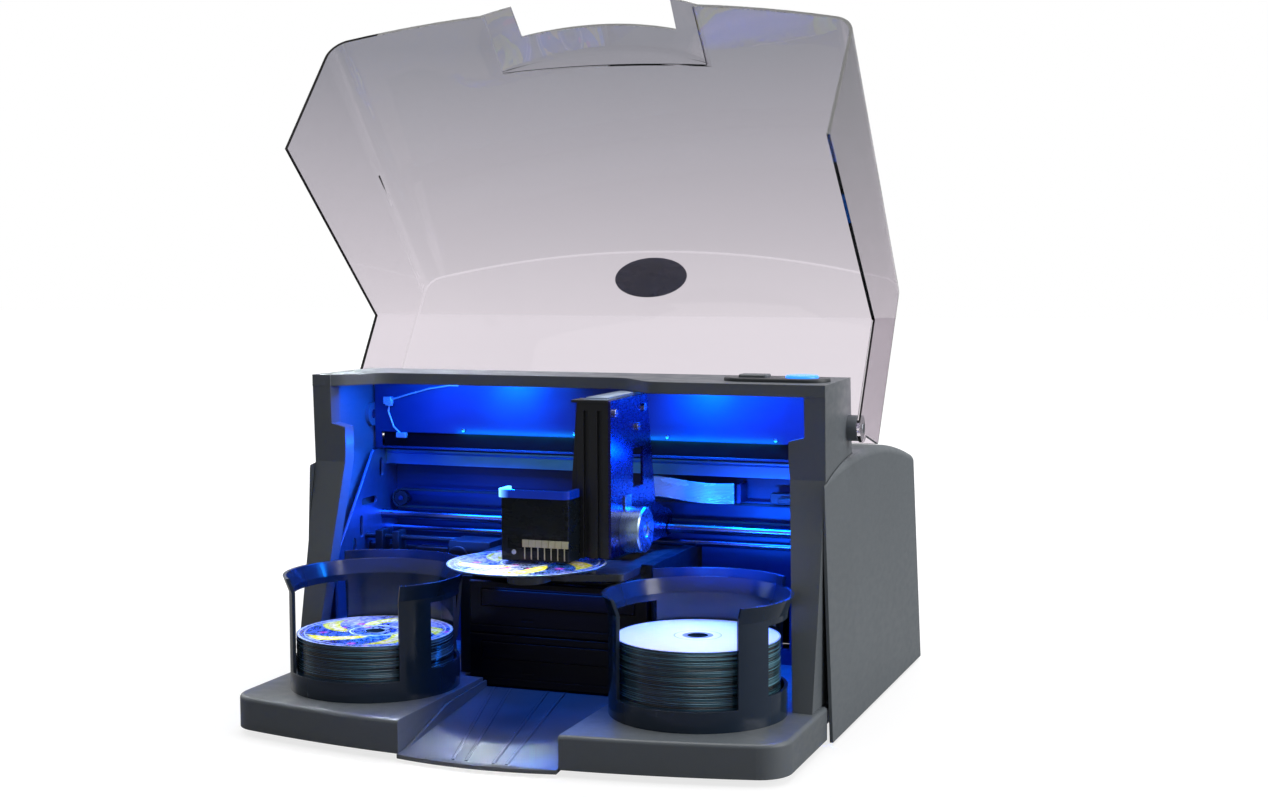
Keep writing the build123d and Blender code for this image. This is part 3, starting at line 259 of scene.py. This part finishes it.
def clear_blue():
    """Clear light guide, brightest at its left tip."""
    tip_start, tip_end = -0.021, -0.013
    g = Graph("lit light guide")
    tip = g.spread(g.axes()[0], 1.0, 0.0, tip_start, tip_end)
    g.set(
        Base_Color=g.mix(g.noise(40.0, 2.0), (0.001, 0.01, 0.16), (0.003, 0.03, 0.30)),
        Roughness=g.spread(g.noise(200.0), 0.05, 0.15),
        IOR=1.49,
        Emission_Strength=g.spread(tip, 0.22, 1.6, 0.0, 1.0),
        Emission_Color=g.mix(tip, (0.0, 0.06, 0.9), (0.25, 0.75, 1.0)),
        Transmission_Weight=0.25,
    )
    return g.material


# ---------------------------------------------------------------- disc surfaces
# Rings of a disc's label side, as inner and outer radius in mm.
FIELD_RING = (11.2, 58.9)
STACK_RING = (16.6, 17.5)
RIM_RING = (59.0, 61.0)
GROOVE_RINGS = ((16.2, 17.9), (11.0, 11.8))
PETAL_RING = (22.0, 52.0)
CORE_RING = (27.0, 48.0)
PALE_RINGS = ((18.5, 20.0), (53.6, 54.4), (57.8, 60.5))
SWIRL_ARMS = 5.0
SWIRL_TWIST = 0.13


def polar(g):
    """Distance from the piece's own origin in mm, angle in radians, and y in metres."""
    x, y, _ = g.axes()
    reach = g.maths("SQRT", g.maths("ADD", g.maths("MULTIPLY", x, x), g.maths("MULTIPLY", y, y)))
    return g.maths("MULTIPLY", reach, 1000.0), g.maths("ARCTAN2", y, x), y


def ring_mask(g, reach, ring, soft=0.35):
    """1 between the ring's two radii, fading over soft mm at each."""
    inner, outer = ring
    rise = g.spread(reach, 0.0, 1.0, inner - soft, inner + soft)
    fall = g.spread(reach, 1.0, 0.0, outer - soft, outer + soft)
    return g.maths("MULTIPLY", rise, fall)


def disc_face(name, printed):
    """A disc's label side: clear hub, stacking ring, then a white or a printed field."""
    g = Graph(name)
    reach, turn, y = polar(g)
    if printed:
        field = printed_field(g, reach, turn, y)
        smooth, dull = 0.22, 0.32
    else:
        field = g.mix(g.spread(g.noise(260.0, 3.0), 0.0, 1.0), (0.90, 0.91, 0.90), (0.93, 0.93, 0.92))
        smooth, dull = 0.30, 0.42
    hub = g.mix(g.spread(g.noise(120.0), 0.0, 1.0), (0.10, 0.16, 0.21), (0.18, 0.25, 0.30))
    colour = g.mix(ring_mask(g, reach, FIELD_RING), hub, field)
    colour = g.mix(ring_mask(g, reach, STACK_RING), colour, (0.42, 0.48, 0.52))
    colour = g.mix(ring_mask(g, reach, RIM_RING), colour, (0.30, 0.40, 0.45))
    g.set(
        Base_Color=colour,
        Roughness=g.spread(g.noise(320.0, 3.0), smooth, dull),
        Coat_Weight=0.35,
        Coat_Roughness=0.08,
    )
    grooves = [ring_mask(g, reach, ring, 0.2) for ring in GROOVE_RINGS]
    g.bump(g.maths("ADD", *grooves), 0.5, 0.0003)
    return g.material


def printed_field(g, reach, turn, y):
    """Generic print: blue field with a yellow swirl, pink dots and pale rings, and pale pink patches
    fading in over the disc's far half.
    """
    cloud = g.spread(g.noise(24.0, 3.0), 0.0, 1.0)
    ground = g.mix(cloud, (0.006, 0.020, 0.20), (0.01, 0.16, 0.52))
    far_side = g.spread(y, 0.0, 0.7, 0.0, 0.03)
    # Pale pink patches, faded in over the disc's far half (positive y).
    far_pale_patches = g.maths("MULTIPLY", g.spread(g.noise(16.0, 2.0), 0.0, 1.0, 0.40, 0.58), far_side)
    ground = g.mix(far_pale_patches, ground, (0.92, 0.74, 0.88))

    arms = g.maths("MULTIPLY", turn, SWIRL_ARMS)
    sway = g.maths("SINE", g.maths("ADD", arms, g.maths("MULTIPLY", reach, SWIRL_TWIST)))
    petals = g.spread(sway, 0.0, 1.0, 0.30, 0.44)
    petals = g.maths("MULTIPLY", petals, ring_mask(g, reach, PETAL_RING, 1.5))
    colour = g.mix(petals, ground, (1.0, 0.88, 0.02))
    core = g.spread(sway, 0.0, 1.0, 0.86, 0.93)
    core = g.maths("MULTIPLY", core, ring_mask(g, reach, CORE_RING, 1.0))
    colour = g.mix(core, colour, (0.98, 0.80, 0.30))

    cells = g.node("TexVoronoi")
    cells.inputs["Scale"].default_value = 62.0
    g.feed(g.place(), cells.inputs["Vector"])
    dots = g.spread(cells.outputs["Distance"], 1.0, 0.0, 0.20, 0.26)
    dots = g.maths("MULTIPLY", dots, g.maths("SUBTRACT", 1.0, petals))
    colour = g.mix(g.maths("MULTIPLY", dots, 0.85), colour, (0.85, 0.07, 0.45))
    for ring in PALE_RINGS:
        colour = g.mix(ring_mask(g, reach, ring), colour, (0.80, 0.90, 0.98))
    return colour


def disc_edge():
    """Layered rims of a stack: clear plastic edges over a dark mirror layer, the edges' teal brighter in
    patches as painted glints.
    """
    g = Graph("disc edges")
    layer = g.noise(5.0, 3.0, (1.2, 1.2, 150.0), 0.7)
    # Painted glints: patches where the clear edges' teal is brighter.
    painted_glint_noise = g.noise(22.0, 2.0, (1, 1, 0.5))
    teal_with_painted_glints = g.mix(g.spread(painted_glint_noise, 0.0, 1.0), (0.015, 0.06, 0.13), (0.12, 0.32, 0.42))
    g.set(
        Base_Color=g.mix(g.spread(layer, 0.0, 1.0, 0.42, 0.60), (0.004, 0.010, 0.018), teal_with_painted_glints),
        Roughness=g.spread(layer, 0.12, 0.30),
        Metallic=0.25,
        Coat_Weight=0.5,
    )
    g.bump(layer, 0.3, 0.0003)
    return g.material


# ---------------------------------------------------------------- finishes
# Colours are linear. A plastic's numbers are its roughness and the strength of its grain, and
# a metal's its roughness, the stretch of its marks and the strength of its grain.
SLATE = (0.110, 0.125, 0.139)
finish = {
    "slate": plastic("slate shell", SLATE, 0.42, 0.22, mottle=0.03),
    "cover": plastic("slate cover", scaled(SLATE, 1.05), 0.44, 0.22, mottle=0.03),
    "chute": plastic("slate chute", (0.120, 0.135, 0.150), 0.20, 0.05, mottle=0.03, spec=0.9),
    "pad": plastic("control pad", (0.035, 0.040, 0.046), 0.40, 0.2),
    "key": plastic("power key", (0.13, 0.145, 0.16), 0.40, 0.2),
    # The bins' blue tint is partly painted blue light from the machine's own lamps, on black plastic.
    "bin": plastic("bin black", (0.008, 0.020, 0.042), 0.16, 0.03, edge=0.0006, spec=0.45, mottle=0.15),
    "black": plastic("satin black", (0.006, 0.007, 0.010), 0.38, 0.15, edge=0.0006),
    "drive": plastic("drive black", (0.0015, 0.0015, 0.0045), 0.34, 0.1, size=900.0, spec=0.15),
    "flank": plastic("cage slate", (0.008, 0.013, 0.020), 0.42, 0.1, size=900.0, spec=0.3),
    "head": plastic("head black", (0.005, 0.008, 0.012), 0.28, 0.06, edge=0.0005, spec=0.2),
    # Blue in the bay's zinc, arm, frame, beam and motor steels is partly painted blue light from the
    # machine's own lamps, on the steels' own grey.
    "zinc": metal("zinc steel", (0.36, 0.44, 0.58), 0.36, (1, 1, 3), 0.02),
    "arm": metal("arm steel", (0.030, 0.030, 0.165), 0.26, (1, 1, 2), 0.0),
    "frame": metal("frame steel", (0.24, 0.36, 0.60), 0.42, (1, 2, 1), 0.0),
    "beam": metal("beam steel", (0.09, 0.34, 0.74), 0.34, (0.3, 1, 1), 0.0),
    "rod": metal("ground rod", (0.60, 0.64, 0.72), 0.16, (0.2, 3, 3), 0.0),
    # The shafts' steel is darkened as painted shade against the lamps' reflections, and tinted as painted
    # blue light from the machine's lamps.
    "shaft": metal("shaft with painted shade and blue light", (0.20, 0.22, 0.34), 0.20, (0.2, 3, 3), 0.0),
    "motor": metal("turned motor", (0.36, 0.50, 0.66), 0.28, (8, 1, 1), 0.03),
    # The bulkhead's blue is partly its dark paint, partly painted blue light from the machine's own lamps.
    "bulkhead": plastic("bulkhead paint with painted blue light", (0.004, 0.026, 0.088), 0.34, 0.05, spec=0.35, mottle=0.12),
    "rubber": plastic("belt rubber", (0.012, 0.012, 0.012), 0.68, 0.5, size=700.0),
    "foot": plastic("foot rubber", (0.02, 0.02, 0.02), 0.75, 0.5, size=700.0),
    "nylon": plastic("natural nylon", (0.66, 0.64, 0.58), 0.42, 0.15),
    "bronze": metal("sintered bronze", (0.62, 0.40, 0.18), 0.42, grain=0.3, size=900.0),
    "tray": plastic("tray grey", (0.030, 0.036, 0.042), 0.40, 0.1),
    "board": plastic("solder mask", (0.012, 0.10, 0.04), 0.30, 0.3, size=500.0),
    "gold": metal("plated contact", (0.62, 0.60, 0.44), 0.30),
    "chuck": plastic("chuck rubber", (0.05, 0.05, 0.055), 0.55, 0.3),
    "ribbon": plastic(
        "ribbon cable", (0.55, 0.56, 0.60), 0.24, 0.1, size=900.0, mottle=0.03, metallic=0.45
    ),
    "badge": plastic("badge", (0.007, 0.018, 0.055), 0.30, 0.5, size=1800.0, mottle=0.35),
    "panel": plastic("rear panel", (0.045, 0.048, 0.052), 0.45, 0.4, size=800.0),
    "lens": lit("lamp lens", (0.10, 0.50, 1.0), 14.0),
    "button": lit("lit button", (0.02, 0.22, 1.0), 1.6, (0.05, 0.2, 0.9), 0.22),
    "lid": smoked_clear(),
    "guide": clear_blue(),
    "white face": disc_face("blank disc face", False),
    "print face": disc_face("printed disc face", True),
    "edge": disc_edge(),
}

NODE_FINISH = {
    "slate": ("front_deck", "tower_shell"),
    "cover": ("rear_housing",),
    "chute": ("exit_chute",),
    "pad": ("control_pad",),
    "key": ("power_key",),
    "button": ("load_button",),
    "bin": ("input_bin", "output_bin"),
    "black": (
        "lift_column",
        "carriage_block",
        "fan_frame",
        "fan_rotor",
        "usb_socket",
        "power_inlet",
        "drive_pulley",
        "idler_pulley",
    ),
    "drive": ("lower_drive", "upper_drive", "lower_drive_tray", "upper_drive_tray"),
    "head": ("head_box",),
    "zinc": ("base_pan", "head_bracket"),
    "beam": ("cross_beam",),
    "flank": ("drive_cage", "tray_rails"),
    "arm": ("carriage_plate",),
    "frame": ("left_frame", "right_frame"),
    "rod": ("hinge_pins", "housing_screws", "carriage_screws"),
    "shaft": ("guide_rod", "tie_rod"),
    "motor": ("lift_motor", "belt_motor"),
    "bulkhead": ("bay_back_wall", "ribbon_clips"),
    "panel": ("back_panel",),
    "rubber": ("carriage_belt", "lift_belt"),
    "foot": ("rubber_feet",),
    "nylon": ("motor_pulley", "top_pulley"),
    "bronze": ("rod_bushes",),
    "tray": ("print_tray",),
    "board": ("control_board", "led_boards"),
    "gold": ("contact_strip", "contact_pins"),
    "chuck": ("disc_chuck",),
    "ribbon": ("ribbon_cable",),
    "badge": ("lid_badge",),
    "lens": ("led_lenses",),
    "lid": ("lid_shell",),
    "guide": ("light_guide",),
    "edge": ("blank_discs", "printed_discs", "tray_disc"),
}
for key, names in NODE_FINISH.items():
    for name in names:
        nodes[name].data.materials.clear()
        nodes[name].data.materials.append(finish[key])

# ---------------------------------------------------------------- mesh helpers
SHARP_ANGLE = math.radians(35)


def new_piece(name, mesh_maker, body, materials, place=None):
    """A mesh piece made by mesh_maker(bmesh), placed in the row frame and riding on body."""
    bm = bmesh.new()
    mesh_maker(bm)
    mesh = bpy.data.meshes.new(name)
    bm.to_mesh(mesh)
    bm.free()
    for key in materials:
        mesh.materials.append(finish[key])
    piece = bpy.data.objects.new(name, mesh)
    bpy.context.scene.collection.objects.link(piece)
    if place is not None:
        piece.matrix_world = place
    mesh.polygons.foreach_set("use_smooth", [True] * len(mesh.polygons))
    mesh.set_sharp_from_angle(angle=SHARP_ANGLE)
    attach(piece, body)
    return piece


def lathe(bm, profile, segments, shift=(0.0, 0.0), turn=0.0, kinds=None):
    """Turns a closed (r, z) profile in mm once about Z; kinds gives each side's material."""
    rings = []
    for r, z in profile:
        ring = []
        for step in range(segments):
            angle = turn + 2 * math.pi * step / segments
            x = shift[0] + r * math.cos(angle)
            y = shift[1] + r * math.sin(angle)
            ring.append(bm.verts.new((x * MM, y * MM, z * MM)))
        rings.append(ring)
    for index, ring in enumerate(rings):
        after = rings[(index + 1) % len(rings)]
        for step in range(segments):
            ahead = (step + 1) % segments
            face = bm.faces.new((ring[step], ring[ahead], after[ahead], after[step]))
            face.material_index = kinds[index] if kinds else 0


# ---------------------------------------------------------------- discs
RIM_CHAMFER = 0.15
STACK_GAP = 0.22
STACK_STRAY = 0.12
# The material of each side of disc_profile: 0 is the label side, 1 the rest.
DISC_KINDS = (1, 1, 1, 1, 0, 1)


def disc_profile(z, thick=DISC_T):
    """A disc's closed (r, z) section in mm, its lower side at z."""
    return [
        (DISC_HOLE_R, z),
        (DISC_R - RIM_CHAMFER, z),
        (DISC_R, z + RIM_CHAMFER),
        (DISC_R, z + thick - RIM_CHAMFER),
        (DISC_R - RIM_CHAMFER, z + thick),
        (DISC_HOLE_R, z + thick),
    ]


def one_disc(bm):
    lathe(bm, disc_profile(0.0), 128, kinds=DISC_KINDS)


def disc_stack(name, count, x, body, face, cad_node):
    """Separate discs, each turned and shifted a hair from the next; the top one shows its face."""

    def under(bm):
        for index in range(count - 1):
            stray = (chance.uniform(-STACK_STRAY, STACK_STRAY), chance.uniform(-STACK_STRAY, STACK_STRAY))
            lathe(bm, disc_profile(index * DISC_T, DISC_T - STACK_GAP), 96, stray, chance.uniform(0, 6))

    foot = Matrix.Translation(at(x, 0, BIN_FLOOR))
    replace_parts(new_piece(name, under, body, ("edge",), foot), cad_node)
    top = Matrix.Translation(at(x, 0, BIN_FLOOR + (count - 1) * DISC_T))
    new_piece(name + "_top", one_disc, body, (face, "edge"), top)


disc_stack("blank_stack", BLANK_DISCS, BIN_X, "blank_discs", "white face", "blank_discs")
disc_stack(
    "printed_stack", PRINTED_DISCS, -BIN_X, "printed_discs", "print face", "printed_discs"
)
tray_disc = new_piece(
    "disc_on_tray",
    one_disc,
    "print_tray",
    ("print face", "edge"),
    Matrix.Translation(at(*TRAY_DISC)) @ Matrix.Rotation(2.1, 4, "Z"),
)
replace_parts(tray_disc, "tray_disc")


# ---------------------------------------------------------------- small pieces of the bay
def add_box(bm, low, high):
    """A box between two places of the drawn frame."""
    a, b = at(*low), at(*high)
    for vert in bmesh.ops.create_cube(bm, size=1.0)["verts"]:
        vert.co = Vector([(a[i] + b[i]) / 2 + vert.co[i] * (b[i] - a[i]) for i in range(3)])


def add_rod(bm, start, end, radius, sides=16):
    """A round bar between two places of the drawn frame."""
    a, b = at(*start), at(*end)
    turn = (b - a).to_track_quat("Z", "Y").to_matrix().to_4x4()
    bmesh.ops.create_cone(
        bm,
        cap_ends=True,
        segments=sides,
        radius1=radius * MM,
        radius2=radius * MM,
        depth=(b - a).length,
        matrix=Matrix.Translation((a + b) / 2) @ turn,
    )


def rounded(piece, width):
    bevel = piece.modifiers.new("edges", "BEVEL")
    bevel.width = width
    bevel.segments = 2
    bevel.limit_method = "ANGLE"


def ribbon(bm):
    """Flat cable with a ridge for each wire, bowed forward and drooping to the right."""
    wires, points_per_wire, steps = 14, 4, 40
    left, length = 42, 70
    width, thick, ridge = 16.5, 0.5, 0.35
    points = wires * points_per_wire
    rows = []
    for step in range(steps + 1):
        along = step / steps
        x = left + length * along
        y = 149.6 - 3.4 * math.sin(math.pi * min(1.0, along * 1.1)) ** 2
        top = 178.5 - 4.2 * math.sin(math.pi * 0.62 * along) ** 2
        row = []
        for line in range(points + 1):
            swell = ridge * abs(math.sin(math.pi * line / points_per_wire))
            row.append(bm.verts.new(at(x, y - swell, top - width * line / points)))
        row.append(bm.verts.new(at(x, y + thick, top - width)))
        row.append(bm.verts.new(at(x, y + thick, top)))
        rows.append(row)
    for here, ahead in zip(rows, rows[1:]):
        for index in range(len(here)):
            after = (index + 1) % len(here)
            bm.faces.new((here[index], ahead[index], ahead[after], here[after]))
    bm.faces.new(rows[0])
    bm.faces.new(list(reversed(rows[-1])))


CONTACTS = 7
CONTACT_PITCH = 5.3


def contacts(bm):
    """Plated strip on the foot of the head, parted by fine cuts."""
    for index in range(CONTACTS):
        x = -3.0 + CONTACT_PITCH * index
        add_box(bm, (x, -8.55, 141.5), (x + 5.05, -7.6, 147.0))


def pins(bm):
    """A pin below each contact, its foot turned back."""
    for index in range(CONTACTS):
        x = -1.0 + CONTACT_PITCH * index
        add_rod(bm, (x, -8.45, 133.0), (x, -8.45, 141.5), 0.45, 10)
        add_rod(bm, (x, -8.45, 132.8), (x, -7.9, 132.8), 0.45, 10)


def head_screw(bm):
    """Screw beside the foot of the contact strip."""
    add_rod(bm, (-9.6, -8.9, 137.5), (-9.6, -7.6, 137.5), 1.9, 20)


def arm_rack(bm):
    """Ribbed steel strip along the top of the picker's arm."""
    ribs, first, pitch, rib_width = 22, 18, 3.35, 1.3
    add_box(bm, (37, 16, 250.0), (56, 92, 250.5))
    for rib in range(ribs):
        y = first + pitch * rib
        add_box(bm, (38, y, 250.4), (55, y + rib_width, 251.9))


LEAD_ROUTE = (
    (-129, 136.6, 249.5),
    (-150, 136.2, 246.2),
    (-172, 136.4, 240.3),
    (-187.5, 136.2, 235.5),
    (-189.5, 136.2, 226),
    (-184.5, 136.2, 213),
    (-178, 136.2, 207.5),
)


def lamp_lead(bm):
    """Thin lamp lead along the upper panel."""
    radius = 0.75
    for start, end in zip(LEAD_ROUTE, LEAD_ROUTE[1:]):
        add_rod(bm, start, end, radius, 10)
    for bend in LEAD_ROUTE[1:-1]:
        place = Matrix.Translation(at(*bend))
        bmesh.ops.create_icosphere(bm, subdivisions=2, radius=radius * MM, matrix=place)


def lead_clips(bm):
    """Clips that hold the lamp lead to the upper panel."""
    add_box(bm, (-193, 133.6, 232.5), (-185.5, 138.2, 238.5))
    add_box(bm, (-190.5, 132.4, 231.0), (-183.8, 134.0, 235.5))
    add_box(bm, (-181.5, 133.8, 204.0), (-172.5, 138.2, 208.5))
    add_box(bm, (-134, 135.6, 248.3), (-124, 138.2, 250.8))


def feed_rail(bm):
    """Bars from the left end plate to the drives' cage, with blocks on them."""
    add_rod(bm, (-199, 112, 123.5), (-76, 112, 123.5), 2.2, 20)
    add_box(bm, (-199, 118, 108), (-76, 121, 116))
    for x0, x1 in ((-187, -180), (-171, -165)):
        add_box(bm, (x0, 105, 108), (x1, 119, 129))
    add_box(bm, (-113, 92, 98), (-76.2, 121, 126))
    add_rod(bm, (-104, 90, 113), (-104, 92, 113), 9.0, 32)
    add_rod(bm, (-86, 88.5, 108), (-86, 92, 108), 6.0, 28)
    add_box(bm, (-150, 108, 104), (-122, 119, 117))


def rail_end_block(bm):
    """Sensor block on the right end of the printer's frame."""
    add_box(bm, (142, 150, 160), (199, 160, 168))
    add_box(bm, (150, 144, 161), (196, 150, 165))


def panel_studs(bm):
    """Round screw heads along the foot of the upper panel."""
    for x in (-120, -20, 60, 150):
        add_rod(bm, (x, 136.6, 211.6), (x, 138.0, 211.6), 1.7, 20)


def slot_shadow_plate(bm):
    """Dark plate behind the long slot of the upper panel, as painted shadow: a dark sheet where the gap
    behind the slot lies in shade.
    """
    add_box(bm, (-196, 140.4, 193.5), (196, 141.6, 211))


def beam_roll(bm):
    """Rolled upper edge of the cross beam."""
    add_rod(bm, (-198, 151.2, 191.6), (198, 151.2, 191.6), 3.0, 32)


# Name, maker, body, slot, finish, width of the rounded edges in metres, replaced node.
BAY_PIECES = (
    ("flat_cable", ribbon, "chassis", "ribbon_grey", "ribbon", None, "ribbon_cable"),
    ("plated_contacts", contacts, "head", "gold_contact", "gold", 0.00015, "contact_strip"),
    ("contact_legs", pins, "head", "gold_contact", "gold", None, "contact_pins"),
    ("head_screw", head_screw, "head", "ground_steel", "rod", None, None),
    ("arm_rack", arm_rack, "carriage", "zinc_steel", "zinc", 0.0002, None),
    ("lamp_lead", lamp_lead, "chassis", "ribbon_grey", "ribbon", None, None),
    ("lead_clips", lead_clips, "chassis", "ribbon_grey", "ribbon", 0.0004, None),
    ("feed_rail", feed_rail, "chassis", "black_plastic", "black", 0.0004, None),
    ("rail_end_block", rail_end_block, "chassis", "black_plastic", "black", 0.0004, None),
    ("panel_studs", panel_studs, "chassis", "ground_steel", "shaft", 0.0003, None),
    # Painted shadow: a dark sheet behind the upper panel's slot, where there is only shade.
    ("slot_shadow_plate", slot_shadow_plate, "chassis", "black_plastic", "drive", 0.0004, None),
    ("beam_roll", beam_roll, "chassis", "zinc_steel", "beam", 0.0004, None),
)
for name, maker, body, slot, look, edge, cad_node in BAY_PIECES:
    piece = new_piece(name, maker, body, (look,))
    if edge:
        rounded(piece, edge)
    if cad_node:
        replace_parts(piece, cad_node)


# ---------------------------------------------------------------- floor and backdrop
FLOOR_REACH = 9.0


def make_floor():
    """Plain floor that the camera sees as near white, and as white away from the object."""
    g = Graph("studio floor")
    speck = g.noise(3.0, 2.0)
    g.set(
        Base_Color=g.mix(speck, (0.215, 0.215, 0.217), (0.235, 0.235, 0.237)),
        Roughness=g.spread(speck, 0.75, 0.85),
    )
    path = g.node("LightPath")
    seen = g.maths("MAXIMUM", path.outputs["Is Camera Ray"], path.outputs["Is Transmission Ray"])
    away = g.node("VectorMath", operation="LENGTH")
    g.feed(g.place(), away.inputs[0])
    glow = g.node("Emission")
    g.feed(g.spread(away.outputs["Value"], 0.77, 1.0, 0.25, 1.2), glow.inputs["Strength"])
    total = g.node("AddShader")
    g.feed(g.shader.outputs["BSDF"], total.inputs[0])
    g.feed(glow.outputs["Emission"], total.inputs[1])
    mixed = g.node("MixShader")
    g.feed(seen, mixed.inputs["Fac"])
    g.feed(g.shader.outputs["BSDF"], mixed.inputs[1])
    g.feed(total.outputs["Shader"], mixed.inputs[2])
    g.feed(mixed.outputs["Shader"], g.output.inputs["Surface"])
    mesh = bpy.data.meshes.new("floor")
    corners = [(x * FLOOR_REACH, y * FLOOR_REACH, 0) for x, y in ((-1, -1), (1, -1), (1, 1), (-1, 1))]
    mesh.from_pydata(corners, [], [(0, 1, 2, 3)])
    mesh.materials.append(g.material)
    floor = bpy.data.objects.new("floor", mesh)
    bpy.context.scene.collection.objects.link(floor)


def make_world():
    """White to the camera and through the lid, partly white in gloss, and dim as a light."""
    soft_light, gloss_share = 0.10, 0.40
    world = bpy.data.worlds.new("studio")
    world.use_nodes = True
    bpy.context.scene.world = world
    tree = world.node_tree
    tree.nodes.clear()
    path = tree.nodes.new("ShaderNodeLightPath")
    either = tree.nodes.new("ShaderNodeMath")
    either.operation = "MAXIMUM"
    tree.links.new(path.outputs["Is Camera Ray"], either.inputs[0])
    tree.links.new(path.outputs["Is Transmission Ray"], either.inputs[1])
    share = tree.nodes.new("ShaderNodeMath")
    share.operation = "MULTIPLY_ADD"
    share.use_clamp = True
    share.inputs[1].default_value = gloss_share
    tree.links.new(path.outputs["Is Glossy Ray"], share.inputs[0])
    tree.links.new(either.outputs[0], share.inputs[2])
    soft = tree.nodes.new("ShaderNodeBackground")
    soft.inputs["Color"].default_value = (0.93, 0.96, 1.0, 1.0)
    soft.inputs["Strength"].default_value = soft_light
    white = tree.nodes.new("ShaderNodeBackground")
    white.inputs["Color"].default_value = (1.0, 1.0, 1.0, 1.0)
    white.inputs["Strength"].default_value = 1.0
    mix = tree.nodes.new("ShaderNodeMixShader")
    tree.links.new(share.outputs[0], mix.inputs[0])
    tree.links.new(soft.outputs[0], mix.inputs[1])
    tree.links.new(white.outputs[0], mix.inputs[2])
    out = tree.nodes.new("ShaderNodeOutputWorld")
    tree.links.new(mix.outputs[0], out.inputs[0])


make_floor()
make_world()


# ---------------------------------------------------------------- lamps
def lamp(name, place, target, size, power, colour=(1.0, 1.0, 1.0), high=None, cone=180.0):
    """A soft box of size by high metres, turned to target and hidden from the camera."""
    data = bpy.data.lights.new(name, "AREA")
    data.shape = "RECTANGLE"
    data.size = size
    data.size_y = high or size
    data.energy = power
    data.color = colour
    data.spread = math.radians(cone)
    made = bpy.data.objects.new(name, data)
    made.location = place
    made.rotation_euler = (Vector(target) - Vector(place)).to_track_quat("-Z", "Y").to_euler()
    made.visible_camera = False
    made.visible_transmission = False
    bpy.context.scene.collection.objects.link(made)


lamp("overhead", (0.1, 0.25, 2.2), (0, 0, 0.2), size=2.0, power=48.0)
lamp("right side", (2.2, 0.1, 0.9), (0, 0, 0.2), size=1.4, power=34.0)
lamp("left back", (-1.9, 1.0, 1.2), (0, 0, 0.3), size=1.3, power=12.0)
lamp("front fill", (1.2, -2.2, 0.8), (0, 0, 0.15), size=1.6, power=1.0)

# The machine's own blue light: the lamps under the bridge, and washes for what they bounce.
BLUE = (0.0, 0.10, 1.0)
LENS_BLUE = (0.0, 0.24, 1.0)
BEAM_BLUE = (0.0, 0.35, 1.0)
CHUTE_BLUE = (0.0, 0.15, 1.0)
BIN_BACK_POWER = ((-BIN_X, 0.03), (BIN_X, 0.11))
WASH_X = (-150, -75, 95, 160)
for index, (x, y) in enumerate(LED_PLACES):
    lens, panel_foot = at(x, y - 4, 254), at(x, y + 8, 200)
    lamp(f"bay lamp {index}", lens, panel_foot, 0.03, 0.34, LENS_BLUE, high=0.012)
    above_bin, bin_back = at(x * 1.5, 100, 205), at(x * 1.5, 50, 90)
    lamp(f"bin wash {index}", above_bin, bin_back, 0.10, 0.8, BLUE, high=0.03)
    before_panel, beam_front = at(x, 128, 209), at(x, 151, 190)
    lamp(f"beam wash {index}", before_panel, beam_front, 0.11, 0.035, BEAM_BLUE, high=0.004)
for index, (x, power) in enumerate(BIN_BACK_POWER):
    lamp(f"bin back wash {index}", at(x, 5, 125), at(x, 60, 128), 0.08, power, BLUE, high=0.01, cone=50.0)
for index, x in enumerate(WASH_X):
    lamp(f"bay wash {index}", at(x, 100, 251), at(x * 1.08, 128, 130), 0.09, 0.30, BLUE, high=0.03)
lamp("chute wash", at(0, 46, 100), at(0, 10, 15), 0.10, 0.10, CHUTE_BLUE, high=0.01)

# Narrow soft boxes from above, for the chute and the two stacks.
COOL = (0.85, 0.93, 1.0)
WARM = (1.0, 0.96, 0.88)
CREAM = (1.0, 0.98, 0.94)
lamp("chute light", (0.0, -0.16, 1.5), at(4, -66, 12), 0.04, 0.075, cone=4.5)
lamp("chute streak", (-0.49, 0.40, 0.96), at(0, -50, 15), 0.16, 0.30, COOL, high=0.05, cone=14.0)
lamp("blank disc light", (0.131, -0.13, 1.5), at(BIN_X, 0, 83), 0.05, 0.018, WARM, cone=5.0)
lamp("printed disc light", (-0.131, -0.13, 1.5), at(-BIN_X, 0, 69), 0.05, 0.03, CREAM, cone=5.0)
